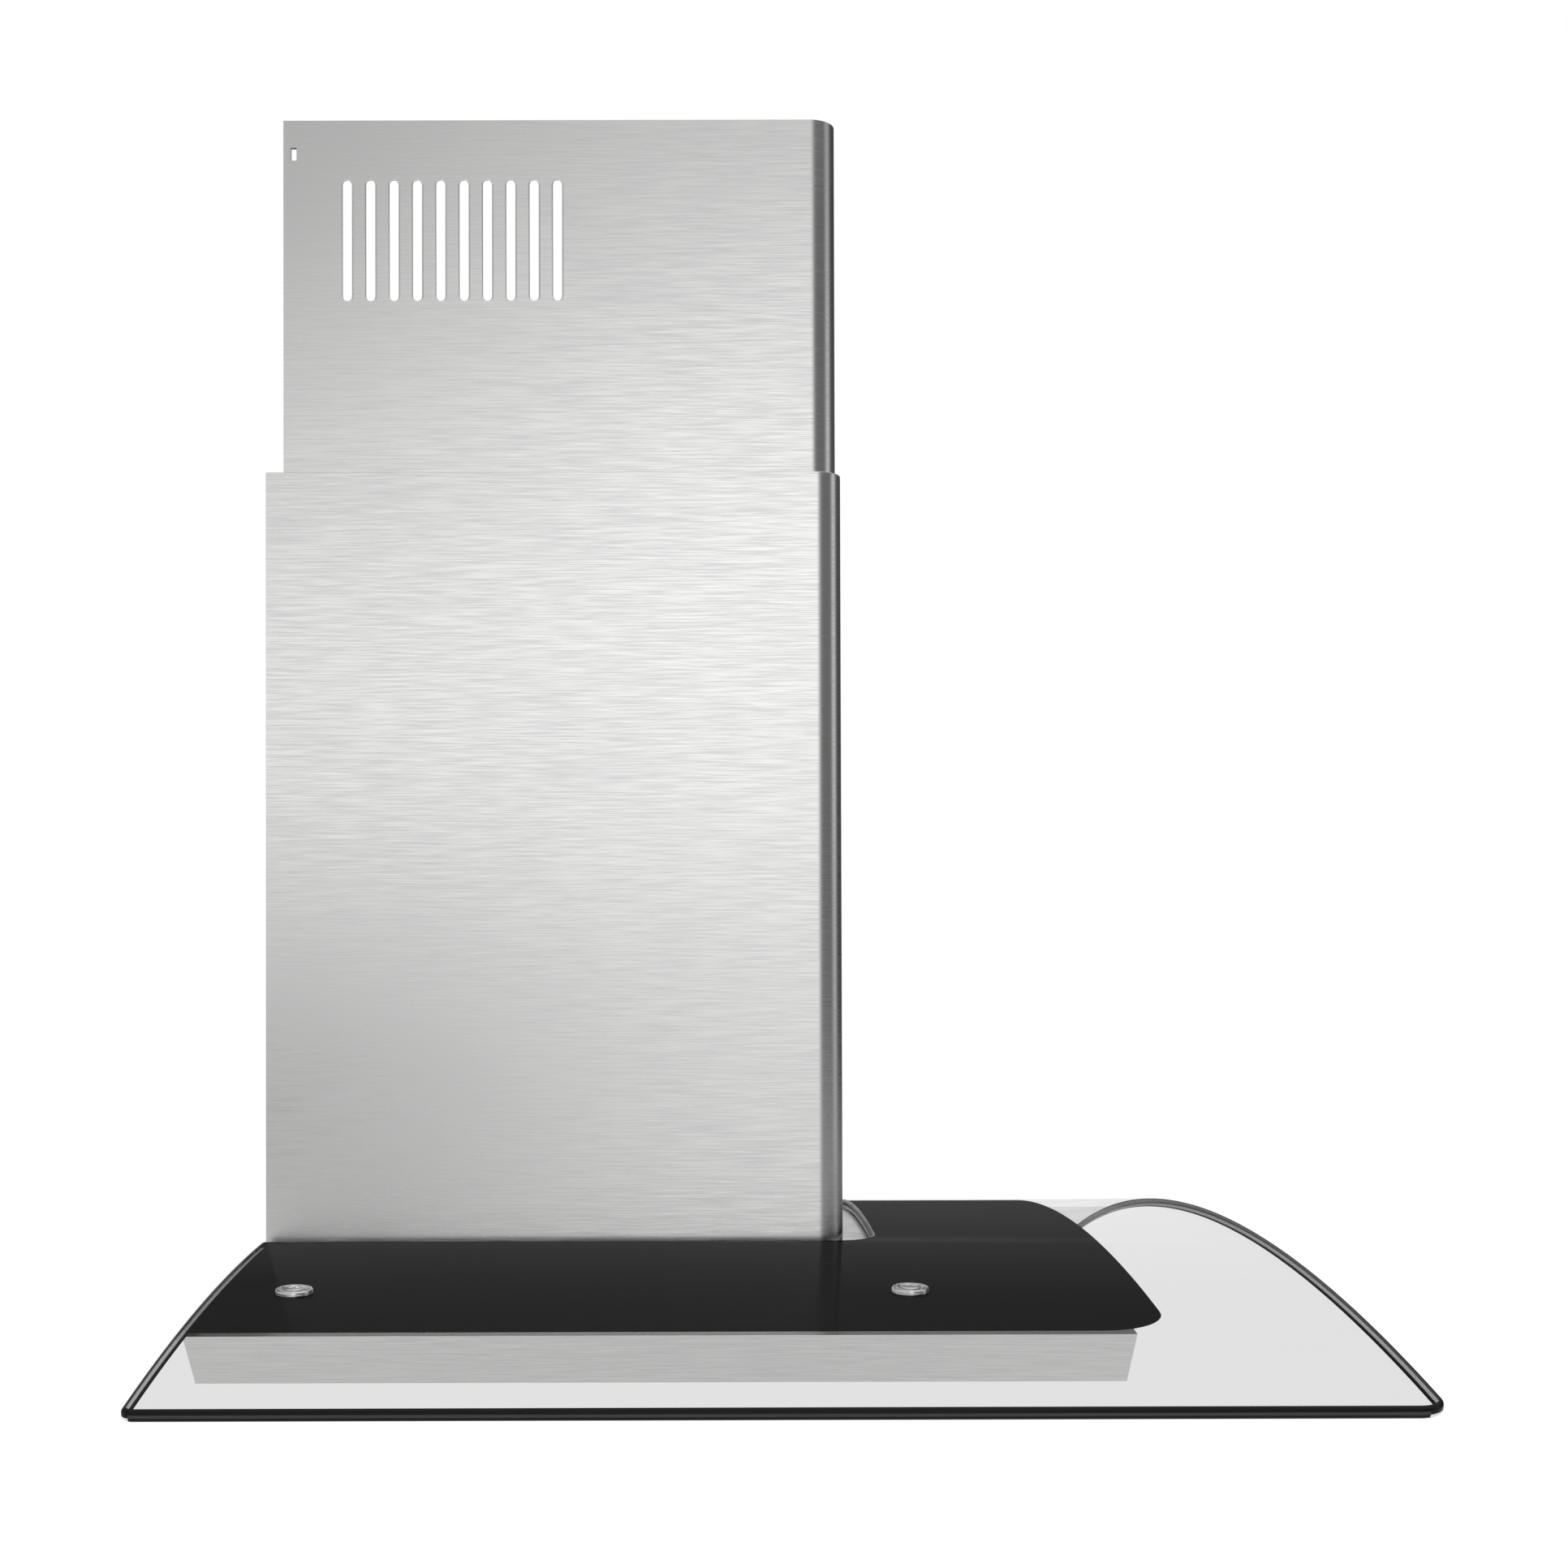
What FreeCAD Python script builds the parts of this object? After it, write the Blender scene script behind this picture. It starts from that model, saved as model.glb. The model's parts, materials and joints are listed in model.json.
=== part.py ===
import FreeCAD, Part
import math
import os
import re
import Sketcher

# Wall-mounted chimney range hood with an arched glass canopy. X runs along the width, -Y faces
# the cook, +Z is up. The origin is the centre of the four wall bolts, on the wall plane.
# Heights in the expressions below are counted from the underside of the steel body.

os.makedirs("parts", exist_ok=True)
doc = FreeCAD.newDocument("RangeHood")
sheet = doc.addObject("Spreadsheet::Sheet", "Dims")

sizes = {
    "underside_z": -160,
    # glass canopy, a piece of a tube lying along Y
    "glass_wide": 914, "glass_deep": 500, "glass_thick": 5, "arch_radius": 2154, "crest_high": 57,
    "front_round": 11, "rear_round": 5, "notch_wide": 344, "notch_deep": 304, "notch_round": 18,
    "enamel_wide": 712, "enamel_deep": 415, "enamel_thick": 0.4, "enamel_round": 28,
    # steel body under the glass
    "body_wide": 646, "body_deep": 402, "end_lean": 1.1, "gauge": 1, "air_wide": 200,
    "air_deep": 190, "air_rear": 30, "bolt_reach": 200, "bolt_high": 25, "bolt_hole": 3,
    "sheet_low": 40,
    # screws that hold the glass
    "glass_lean": 7.91, "rear_row": 38, "front_row": 311, "glass_hole": 5, "screw_radius": 2.5,
    "head_radius": 4.8, "head_high": 2.4, "washer_radius": 8.3, "washer_thick": 1.6,
    "screw_reach": 12, "nut_radius": 6.3, "nut_high": 5,
    # underside
    "panel_low": 1.5, "panel_thick": 1.2, "panel_gap": 3, "filter_wide": 249, "filter_deep": 261,
    "filter_gap": 0.5, "filter_high": 9, "filter_rear": 70, "filter_middle": 130, "rim": 14,
    "front_rim": 34, "mesh_thick": 5, "mesh_set": 2, "latch_wide": 40, "latch_deep": 12,
    "latch_travel": 4, "latch_gap": 0.3, "tongue_wide": 20, "tongue_thick": 2.5,
    "tongue_set": 3, "tongue_short": 0.1, "thumb_low": 0.3, "thumb_deep": 3, "thumb_set": 4,
    "lamp_reach": 287, "lamp_front": 345, "lamp_radius": 30, "lamp_rim": 1.2,
    "lens_radius": 23.5, "lens_thick": 2, "lens_proud": 0.7, "cup_radius": 25.8,
    "cup_high": 20,
    # push-buttons in the front face
    "button_radius": 5.5, "button_gap": 0.3, "button_pitch": 22, "button_proud": 2,
    "button_high": 26, "flange_radius": 7.2, "flange_thick": 2, "button_rest": 0.4,
    "trim_wide": 136, "trim_high": 22, "trim_thick": 1.2, "board_back": 15, "board_thick": 1.6,
    "switch_side": 8, "switch_tall": 6, "plunger_radius": 2, "plunger_long": 2.6,
    "spacer_radius": 3, "spacer_inset": 5,
    # chimney
    "chimney_wide": 320, "chimney_deep": 290, "chimney_round": 13, "lower_top": 436,
    "return_wide": 14, "upper_inset": 2.5, "upper_rear": 8.5, "upper_high": 330,
    "upper_top": 615, "vents": 10, "vent_wide": 5.5, "vent_high": 62, "vent_pitch": 11.8,
    "vent_drop": 30, "vent_first": 32.3, "fixing_wide": 2.9, "fixing_high": 6.4,
    "fixing_drop": 17, "fixing_rear": 13.7, "pad_gap": 0.3, "pad_high": 34, "pad_deep": 40,
    "pad_drop": 36, "pad_rear": 60, "pad_front": 180, "pad_side": 80,
    # wall bracket, hooks and the bracket at the top of the chimney
    "plate_wide": 240, "plate_high": 180, "plate_thick": 2.5, "wall_hole": 4.25,
    "wall_spread_x": 200, "wall_spread_z": 120, "shelf_deep": 20, "lip_high": 10, "hook_wide": 30,
    "hook_thick": 2, "strap_high": 20, "strap_drop": 19, "tab_rise": 9, "strap_thick": 1.5, "tab_deep": 28,
    "strap_spread": 160, "strap_hole": 2.5, "strap_flat": 210, "strap_step": 11.5,
    "hook_side": 80, "hook_front": 12, "hook_back": 24, "hook_drop": 8,
    # blower
    "blower_wide": 260, "blower_deep": 240, "blower_rear": 22, "blower_top": 290,
    "foot_wide": 12, "foot_high": 26, "foot_rear": 30, "foot_long": 220, "strip_thick": 1.5,
    "leg_thick": 2, "foot_lean": 3.65, "foot_row_rear": 60, "foot_row_front": 220,
    "clip_lean": 4.05, "clip_rear": 130, "clip_long": 40, "clip_row": 150, "bolt_radius": 2,
    "bolt_head_radius": 4, "bolt_head_high": 2, "bolt_long": 6.5,
    "fan_y": -112, "fan_z": 150, "scroll_radius": 88, "scroll_wall": 2, "scroll_half": 58,
    "outlet_rear": 100, "outlet_front": 200, "inlet_radius": 58, "wheel_radius": 70,
    "blade_long": 10, "blade_thick": 1, "wheel_half": 50, "wheel_rim": 3, "blades": 36,
    "hub_radius": 10, "hub_long": 10, "disc_thick": 2, "shaft_radius": 4, "shaft_fit": 0.05,
    "motor_radius": 38, "motor_start": 8, "motor_long": 56, "shaft_reach": 30,
    "bracket_rim": 12, "bracket_arm": 10, "bracket_grip": 4, "arms": 3,
    "capacitor_radius": 11, "capacitor_long": 60, "capacitor_y": -100, "capacitor_low": 130,
    "capacitor_gap": 1.5, "band_low": 155, "band_high": 12, "band_thick": 1.2,
    "band_foot": 50, "box_wide": 24, "box_deep": 90, "box_high": 80, "box_rear": 60,
    "box_low": 195, "cover_thick": 1.2, "gland_radius": 7, "gland_bore": 3.6, "gland_high": 16,
    # duct collar and its damper
    "collar_y": -150, "collar_radius": 75, "collar_wall": 2.5, "collar_high": 60,
    "seat_radius": 85, "seat_thick": 2, "ledge_radius": 69, "ledge_high": 2.1,
    "ledge_gap": 0.3, "pin_high": 16, "pin_offset": 3.2, "pin_radius": 1.5, "pin_short": 0.2,
    "barrel_radius": 3, "barrel_long": 120, "barrel_gap": 1, "flap_radius": 71.5,
    "flap_thick": 1.2,
}
for row, (name, value) in enumerate(sizes.items(), start=1):
    sheet.set(f"A{row}", name)
    sheet.set(f"B{row}", str(value))
    sheet.setAlias(f"B{row}", name)
doc.recompute()

RIGHT = FreeCAD.Rotation(FreeCAD.Vector(0, 1, 0), 90)    # turns a part's own Z to +X
FRONT = FreeCAD.Rotation(FreeCAD.Vector(1, 0, 0), 90)    # turns a part's own Z to -Y
UP = FreeCAD.Rotation()
nodes = {}


def bind(thing, prop, text):
    """Ties a property to an expression whose words are cells of the sheet."""
    thing.setExpression(prop, re.sub(r"\b[a-z]\w+\b(?!\()", r"Dims.\g<0>", text))


def place(thing, x, y, z, turn=UP):
    thing.Placement = FreeCAD.Placement(FreeCAD.Vector(), turn)
    bind(thing, "Placement.Base.x", x)
    bind(thing, "Placement.Base.y", y)
    bind(thing, "Placement.Base.z", f"underside_z + ({z})")
    return thing


def box(x, y, z, wide, deep, high):
    """A block from its left front lower corner."""
    thing = doc.addObject("Part::Box", "Block")
    bind(thing, "Length", wide)
    bind(thing, "Width", deep)
    bind(thing, "Height", high)
    return place(thing, x, y, z)


def rod(x, y, z, radius, length, turn=UP):
    thing = doc.addObject("Part::Cylinder", "Rod")
    bind(thing, "Radius", radius)
    bind(thing, "Height", length)
    return place(thing, x, y, z, turn)


def arch(drop):
    """A disc under the arch, as deep as the canopy, drop below the glass's upper face."""
    return rod("0", "0", "crest_high - arch_radius", f"arch_radius - ({drop})", "glass_deep",
               FRONT)


def radial(side, y, lean, rise, radius, length):
    """A rod square to the arch, leaning to one side, that starts rise above the glass."""
    turn = FreeCAD.Rotation(FreeCAD.Vector(0, 1, 0), side * sizes[lean])
    reach = f"(arch_radius + ({rise}))"
    return rod(f"{side} * {reach} * sin({lean})", y,
               f"crest_high - arch_radius + {reach} * cos({lean})", radius, length, turn)


def fuse(*things):
    whole = doc.addObject("Part::MultiFuse", "Fusion")
    whole.Shapes = list(things)
    return whole


def group(*things):
    whole = doc.addObject("Part::Compound", "Group")
    whole.Links = list(things)
    return whole


def cut(base, *tools):
    result = doc.addObject("Part::Cut", "Cut")
    result.Base = base
    result.Tool = tools[0] if len(tools) == 1 else fuse(*tools)
    return result


def common(first, second):
    result = doc.addObject("Part::Common", "Common")
    result.Base = first
    result.Tool = second
    return result


def tube(x, y, z, outer, inner, length, turn=UP):
    return cut(rod(x, y, z, outer, length, turn), rod(x, y, z, inner, length, turn))


def node(name, thing):
    thing.Label = name
    nodes[name] = thing
    return thing


def outline(body, role, points):
    """A closed polygon sketch on one of the body's own planes, each corner bound to the sheet."""
    sketch = body.newObject("Sketcher::SketchObject", "Outline")
    plane = [f for f in body.Origin.OriginFeatures if f.Role == role][0]
    sketch.AttachmentSupport = [(plane, "")]
    sketch.MapMode = "FlatFace"
    count = len(points)
    start = [FreeCAD.Vector(math.cos(math.tau * i / count), math.sin(math.tau * i / count), 0)
             for i in range(count)]
    for i in range(count):
        sketch.addGeometry(Part.LineSegment(start[i], start[(i + 1) % count]))
    for i in range(count):
        sketch.addConstraint(Sketcher.Constraint("Coincident", i, 2, (i + 1) % count, 1))
    for i, corner in enumerate(points):
        for kind, text in zip(("DistanceX", "DistanceY"), corner):
            index = sketch.addConstraint(Sketcher.Constraint(kind, -1, 1, i, 1, 1.0))
            bind(sketch, f"Constraints[{index}]", text)
    return sketch


def prism(role, points, length, at=("0", "0", "0")):
    """A padded polygon: XY_Plane pads up, XZ_Plane pads to the front, YZ_Plane to the right."""
    body = doc.addObject("PartDesign::Body", "Body")
    pad = body.newObject("PartDesign::Pad", "Pad")
    pad.Profile = outline(body, role, points)
    bind(pad, "Length", length)
    place(body, *at)
    doc.recompute()
    return body


def round_off(body, radius, chosen):
    """Fillets the body's upright edges whose middle the chosen test picks."""
    base = body.Tip
    picked = []
    for index, edge in enumerate(base.Shape.Edges, start=1):
        upright = edge.BoundBox.ZLength > edge.BoundBox.XLength + edge.BoundBox.YLength
        if upright and chosen(edge.CenterOfMass):
            picked.append(f"Edge{index}")
    fillet = body.newObject("PartDesign::Fillet", "Fillet")
    fillet.Base = (base, picked)
    bind(fillet, "Radius", radius)
    body.Tip = fillet
    doc.recompute()
    return body


def plan(wide, deep, low, high, rear="0"):
    """A block centred on the width, from the rear line to the front."""
    half = f"({wide}) / 2"
    points = [(f"-{half}", rear), (f"-{half}", f"{rear} - ({deep})"),
              (half, f"{rear} - ({deep})"), (half, rear)]
    return prism("XY_Plane", points, high, ("0", "0", low))


def in_front(point):
    return point.y < -sizes["chimney_deep"] / 2


def behind(point):
    return not in_front(point)


# Glass canopy
def notch(spare):
    """The gap that the chimney stands in, open to the rear."""
    return round_off(plan(f"notch_wide + 2 * {spare}", f"notch_deep + {spare} + 1", "0",
                          "2 * crest_high", "1"), "notch_round", in_front)


def glass_holes():
    return [radial(side, row, "glass_lean", "-2 * glass_thick", "glass_hole", "4 * glass_thick")
            for side in (-1, 1) for row in ("-rear_row", "-front_row")]


glass_plan = round_off(plan("glass_wide", "glass_deep", "0", "2 * crest_high"),
                       "front_round", in_front)
round_off(glass_plan, "rear_round", behind)
glass_sheet = common(cut(arch("0"), arch("glass_thick")), glass_plan)
node("glass_canopy", cut(glass_sheet, notch("0"), *glass_holes()))

enamel_plan = round_off(plan("enamel_wide", "enamel_deep", "0", "2 * crest_high"),
                        "enamel_round", in_front)
enamel_sheet = common(cut(arch("glass_thick"), arch("glass_thick + enamel_thick")), enamel_plan)
node("black_enamel", cut(enamel_sheet, notch("0.5"), *glass_holes()))


# Steel body: an arched top, upright front and rear walls, and ends that lean in to the bottom
def body_block(inset, rear, deep):
    low = f"(body_wide / 2 - {inset} * 1.5)"
    top = f"(body_wide / 2 - {inset} * 1.5 + end_lean * crest_high)"
    points = [(f"-{low}", "0"), (low, "0"), (top, "crest_high"), (f"-{top}", "crest_high")]
    return prism("XZ_Plane", points, deep, ("0", rear, "0"))


skin = "glass_thick + enamel_thick"
foot_rows = ("-foot_row_rear", "-foot_row_front")
clip_rows = ("-clip_row",)


def strip_holes(lean, rows):
    """Holes square to the arch for the screws of one pair of angle strips."""
    return [radial(side, y, lean, f"-({skin}) - 2 * leg_thick", "bolt_radius", "4 * leg_thick")
            for side in (-1, 1) for y in rows]


def strip_screws(lean, rows):
    screws = []
    for side in (-1, 1):
        for y in rows:
            head = radial(side, y, lean, f"-({skin}) + leg_thick", "bolt_head_radius",
                          "bolt_head_high")
            shank = radial(side, y, lean, f"-({skin}) - 2 * leg_thick", "bolt_radius", "bolt_long")
            screws.append(fuse(head, shank))
    return group(*screws)


body_outside = common(body_block("0", "0", "body_deep"), arch(skin))
body_hollow = common(body_block("gauge", "-gauge", "body_deep - 2 * gauge"),
                     arch(f"{skin} + gauge"))
body_cuts = [box("-air_wide / 2", "-air_rear - air_deep", "0", "air_wide", "air_deep",
                 "crest_high")]
body_cuts += strip_holes("foot_lean", foot_rows) + strip_holes("clip_lean", clip_rows)
for side in (-1, 1):
    body_cuts.append(rod(f"{side} * bolt_reach", "0", "bolt_high", "bolt_hole", "gauge", FRONT))
    body_cuts += [radial(side, row, "glass_lean", "-4 * glass_thick", "screw_radius",
                         "4 * glass_thick") for row in ("-rear_row", "-front_row")]
row_of_five = range(-2, 3)
for k in row_of_five:
    body_cuts.append(rod(f"{k} * button_pitch", "-body_deep + 2 * gauge", "button_high",
                         "button_radius + button_gap", "3 * gauge", FRONT))
node("hood_body", cut(body_outside, body_hollow, *body_cuts))

# Screws, washers, gaskets and nuts that clamp the glass
corners = [(side, row) for side in (-1, 1) for row in ("-rear_row", "-front_row")]


def clamp_ring(rise, outer, length):
    return group(*[cut(radial(side, row, "glass_lean", rise, outer, length),
                       radial(side, row, "glass_lean", rise, "screw_radius", length))
                   for side, row in corners])


node("glass_washers", clamp_ring("0", "washer_radius", "washer_thick"))
node("glass_gaskets", clamp_ring(f"-({skin})", "glass_hole", skin))
node("glass_nuts", clamp_ring(f"-({skin} + gauge + nut_high)", "nut_radius", "nut_high"))
screws = []
for side, row in corners:
    shank = radial(side, row, "glass_lean", "-screw_reach", "screw_radius",
                   "screw_reach + washer_thick")
    head = radial(side, row, "glass_lean", "washer_thick", "head_radius", "head_high")
    drive = radial(side, row, "glass_lean", "washer_thick + head_high / 2", "head_radius / 3",
                   "head_high")
    screws.append(cut(fuse(shank, head), drive))
node("glass_screws", group(*screws))

# Underside panel, with openings for the filters and the lamps
panel_cuts = []
for side in (-1, 1):
    panel_cuts.append(box(f"{side} * filter_middle - filter_wide / 2 - filter_gap",
                          "-filter_rear - filter_deep - filter_gap", "0",
                          "filter_wide + 2 * filter_gap", "filter_deep + 2 * filter_gap",
                          "filter_high"))
    panel_cuts.append(rod(f"{side} * lamp_reach", "-lamp_front", "0", "cup_radius",
                          "filter_high"))
panel = box("-body_wide / 2 + panel_gap", "-body_deep + gauge", "panel_low",
            "body_wide - 2 * panel_gap", "body_deep - 2 * gauge", "panel_thick")
node("underside_panel", cut(panel, *panel_cuts))

# Grease filters: a frame that swings about its round rear edge, a mesh and a sprung latch each,
# and a lamp beside them
for word, side in (("left", -1), ("right", 1)):
    left = f"{side} * filter_middle - filter_wide / 2"
    front = "-filter_rear - filter_deep"
    opening = (f"{left} + rim", f"{front} + front_rim")
    opening_size = ("filter_wide - 2 * rim", "filter_deep - rim - front_rim")
    edge = "filter_high / 2"
    frame = fuse(box(left, front, "panel_low", "filter_wide", f"filter_deep - {edge}",
                     "filter_high"),
                 rod(left, f"-filter_rear - {edge}", f"panel_low + {edge}", edge,
                     "filter_wide", RIGHT))
    pocket = box(f"{side} * filter_middle - latch_wide / 2 - latch_gap", f"{front} + rim / 2",
                 "panel_low", "latch_wide + 2 * latch_gap",
                 "latch_deep + latch_travel + 4 * latch_gap", "filter_high - gauge")
    throat = box(f"{side} * filter_middle - tongue_wide / 2 - latch_gap", front,
                 "panel_low + tongue_set - latch_gap", "tongue_wide + 2 * latch_gap", "rim",
                 "tongue_thick + 2 * latch_gap")
    node(f"filter_{word}_frame",
         cut(frame, box(*opening, "panel_low", *opening_size, "filter_high"), pocket, throat))
    node(f"filter_{word}_mesh",
         box(*opening, "panel_low + mesh_set", *opening_size, "mesh_thick"))
    slider = box(f"{side} * filter_middle - latch_wide / 2", f"{front} + rim / 2 + latch_gap",
                 "panel_low", "latch_wide", "latch_deep", "filter_high - 2 * gauge")
    tongue = box(f"{side} * filter_middle - tongue_wide / 2", f"{front} + tongue_short",
                 "panel_low + tongue_set", "tongue_wide", "rim", "tongue_thick")
    thumb = box(f"{side} * filter_middle - latch_wide / 4", f"{front} + rim / 2 + thumb_set",
                "thumb_low", "latch_wide / 2", "thumb_deep", "panel_low")
    node(f"filter_{word}_latch", fuse(slider, tongue, thumb))

    middle = (f"{side} * lamp_reach", "-lamp_front")
    node(f"lamp_{word}_trim",
         tube(*middle, "panel_low - lamp_rim", "lamp_radius", "lens_radius", "lamp_rim"))
    node(f"lamp_{word}_lens",
         rod(*middle, "panel_low - lens_proud", "lens_radius", "lens_thick"))
    node(f"lamp_{word}_holder",
         cut(rod(*middle, "panel_low", "cup_radius", "cup_high"),
             rod(*middle, "panel_low", "lens_radius", "cup_high - 2 * gauge")))

# Push-buttons, their trim, and the switch board behind the front wall
front_wall = "-body_deep"
trim = box("-trim_wide / 2", f"{front_wall} - trim_thick", "button_high - trim_high / 2",
           "trim_wide", "trim_thick", "trim_high")
trim_holes = [rod(f"{k} * button_pitch", front_wall, "button_high", "button_radius + button_gap",
                  "trim_thick", FRONT) for k in row_of_five]
node("control_trim", cut(trim, *trim_holes))
for k in row_of_five:
    at = (f"{k} * button_pitch", f"{front_wall} + gauge + button_rest", "button_high")
    cap = rod(*at, "button_radius", "gauge + button_rest + trim_thick + button_proud", FRONT)
    flange = rod(at[0], f"{at[1]} + flange_thick", at[2], "flange_radius", "flange_thick", FRONT)
    node(f"button_{k + 3}", fuse(cap, flange))
board_y = f"{front_wall} + board_back"
board = [box("-trim_wide / 2", board_y, "button_high - trim_high / 2", "trim_wide",
             "board_thick", "trim_high")]
for k in row_of_five:
    board.append(box(f"{k} * button_pitch - switch_side / 2", f"{board_y} - switch_tall",
                     "button_high - switch_side / 2", "switch_side", "switch_tall",
                     "switch_side"))
    board.append(rod(f"{k} * button_pitch", f"{board_y} - switch_tall", "button_high",
                     "plunger_radius", "plunger_long", FRONT))
node("switch_board", fuse(*board))
node("board_spacers", group(*[
    rod(f"{side} * (trim_wide / 2 - spacer_inset)", board_y, "button_high", "spacer_radius",
        "board_back - gauge", FRONT) for side in (-1, 1)]))


# Chimney covers
def cover(inset, rear, low, high):
    """A folded sheet, open at the top, the bottom and the rear."""
    wide = f"chimney_wide - 2 * ({inset})"
    deep = f"chimney_deep - ({inset}) + ({rear})"
    outside = round_off(plan(wide, deep, low, high, rear), "chimney_round", in_front)
    inside = round_off(plan(f"{wide} - 2 * gauge", f"{deep} - 2 * gauge", low, high,
                            f"{rear} - gauge"), "chimney_round - gauge", in_front)
    return outside, inside


lower_outside, lower_inside = cover("0", "0", "sheet_low", "lower_top - sheet_low")
rear_gap = box("-chimney_wide / 2 + return_wide", "-2 * gauge", "0",
               "chimney_wide - 2 * return_wide", "3 * gauge", "lower_top")
node("lower_chimney", cut(lower_outside, lower_inside, rear_gap, arch(skin)))

upper_low = "upper_top - upper_high"
upper_outside, upper_inside = cover("upper_inset", "-upper_rear", upper_low, "upper_high")
vents = [box("-chimney_wide / 2 + upper_inset + gauge", "-upper_rear - 2 * gauge", upper_low,
             "chimney_wide - 2 * upper_inset - 2 * gauge", "3 * gauge", "upper_high")]
for slot in range(sizes["vents"]):
    y = f"-upper_rear - vent_first - {slot} * vent_pitch"
    low = "upper_top - vent_drop - vent_high"
    vents.append(box("-chimney_wide", f"{y} - vent_wide / 2", f"{low} + vent_wide / 2",
                     "2 * chimney_wide", "vent_wide", "vent_high - vent_wide"))
    vents += [rod("-chimney_wide", y, f"{low} + {lift}", "vent_wide / 2", "2 * chimney_wide",
                  RIGHT) for lift in ("vent_wide / 2", "vent_high - vent_wide / 2")]
vents.append(box("-chimney_wide", "-fixing_rear - fixing_wide / 2",
                 "upper_top - fixing_drop - fixing_high / 2", "2 * chimney_wide", "fixing_wide",
                 "fixing_high"))
node("upper_chimney", cut(upper_outside, upper_inside, *vents))

pads = []
pad_thick = "(upper_inset - gauge - pad_gap)"
for side in (-1, 1):
    inner = f"{side} * (chimney_wide / 2 - gauge - {pad_thick} / 2) - {pad_thick} / 2"
    pads += [box(inner, f"-{start} - pad_deep", "lower_top - pad_drop", pad_thick, "pad_deep",
                 "pad_high") for start in ("pad_rear", "pad_front")]
    pads.append(box(f"{side} * pad_side - pad_deep / 2", "-chimney_deep + gauge",
                    "lower_top - pad_drop", "pad_deep", pad_thick, "pad_high"))
node("slide_pads", group(*pads))


# Angle strips that hold the blower and the chimney to the body's arched top
def angle_strip(side, leg_side, face, deep, rear):
    """A leg along the arch, to one side of the face, and a leg up the sheet at that face."""
    flat = f"{side} * ({face} + {leg_side} * foot_wide / 2) - foot_wide / 2"
    leg = common(cut(arch(f"{skin} - leg_thick"), arch(skin)),
                 box(flat, f"{rear} - {deep}", "0", "foot_wide", deep, "2 * crest_high"))
    upright = box(f"{side} * ({face} + {leg_side} * strip_thick / 2) - strip_thick / 2",
                  f"{rear} - {deep}", "sheet_low", "strip_thick", deep, "foot_high")
    return fuse(leg, cut(upright, arch(skin)))


node("blower_feet", group(*[
    cut(angle_strip(side, 1, "blower_wide / 2", "foot_long", "-foot_rear"),
        *strip_holes("foot_lean", foot_rows)) for side in (-1, 1)]))
node("blower_screws", strip_screws("foot_lean", foot_rows))
node("chimney_clips", group(*[
    cut(angle_strip(side, -1, "(chimney_wide / 2 - gauge)", "clip_long", "-clip_rear"),
        *strip_holes("clip_lean", clip_rows)) for side in (-1, 1)]))
node("clip_screws", strip_screws("clip_lean", clip_rows))

# Blower box, with the scroll and the motor inside
blower_outside = box("-blower_wide / 2", "-blower_rear - blower_deep", "sheet_low",
                     "blower_wide", "blower_deep", "blower_top - sheet_low")
blower_inside = box("-blower_wide / 2 + gauge", "-blower_rear - blower_deep + gauge", "0",
                    "blower_wide - 2 * gauge", "blower_deep - 2 * gauge", "blower_top - gauge")
collar_hole = rod("0", "collar_y", "blower_top - 2 * gauge", "collar_radius - collar_wall",
                  "4 * gauge")
node("blower_box", cut(blower_outside, blower_inside, collar_hole, arch(skin)))

fan = ("fan_y", "fan_z")
scroll_outside = fuse(rod("-scroll_half", *fan, "scroll_radius", "2 * scroll_half", RIGHT),
                      box("-scroll_half", "-outlet_front", "fan_z", "2 * scroll_half",
                          "outlet_front - outlet_rear", "blower_top - gauge - fan_z"))
scroll_cuts = [rod("-scroll_half + scroll_wall", *fan, "scroll_radius - scroll_wall",
                   "2 * (scroll_half - scroll_wall)", RIGHT),
               box("-scroll_half + scroll_wall", "-outlet_front + scroll_wall", "fan_z",
                   "2 * (scroll_half - scroll_wall)",
                   "outlet_front - outlet_rear - 2 * scroll_wall", "blower_top"),
               rod("-2 * scroll_half", *fan, "inlet_radius", "4 * scroll_half", RIGHT)]
node("scroll_housing", cut(scroll_outside, *scroll_cuts))

motor = rod("motor_start", *fan, "motor_radius", "motor_long", RIGHT)
motor_bore = rod("motor_start", *fan, "shaft_radius + shaft_fit", "motor_long - shaft_radius",
                 RIGHT)
node("motor", cut(motor, motor_bore))
node("fan_shaft",
     rod("-hub_long", *fan, "shaft_radius", "hub_long + motor_start + shaft_reach", RIGHT))
bracket = [tube("scroll_half", *fan, "inlet_radius + bracket_rim", "inlet_radius",
                "strip_thick", RIGHT),
           tube("scroll_half", *fan, "motor_radius + bracket_grip", "motor_radius",
                "strip_thick", RIGHT)]
for arm in range(sizes["arms"]):
    bar = box("scroll_half", "fan_y", "fan_z", "strip_thick", "bracket_arm",
              "inlet_radius + bracket_rim / 2")
    turn = FreeCAD.Rotation(FreeCAD.Vector(1, 0, 0), 360 * arm / sizes["arms"])
    place(bar, "scroll_half", *fan, turn)
    bracket.append(cut(bar, rod("0", *fan, "motor_radius", "2 * scroll_half", RIGHT)))
node("motor_bracket", fuse(*bracket))


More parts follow.
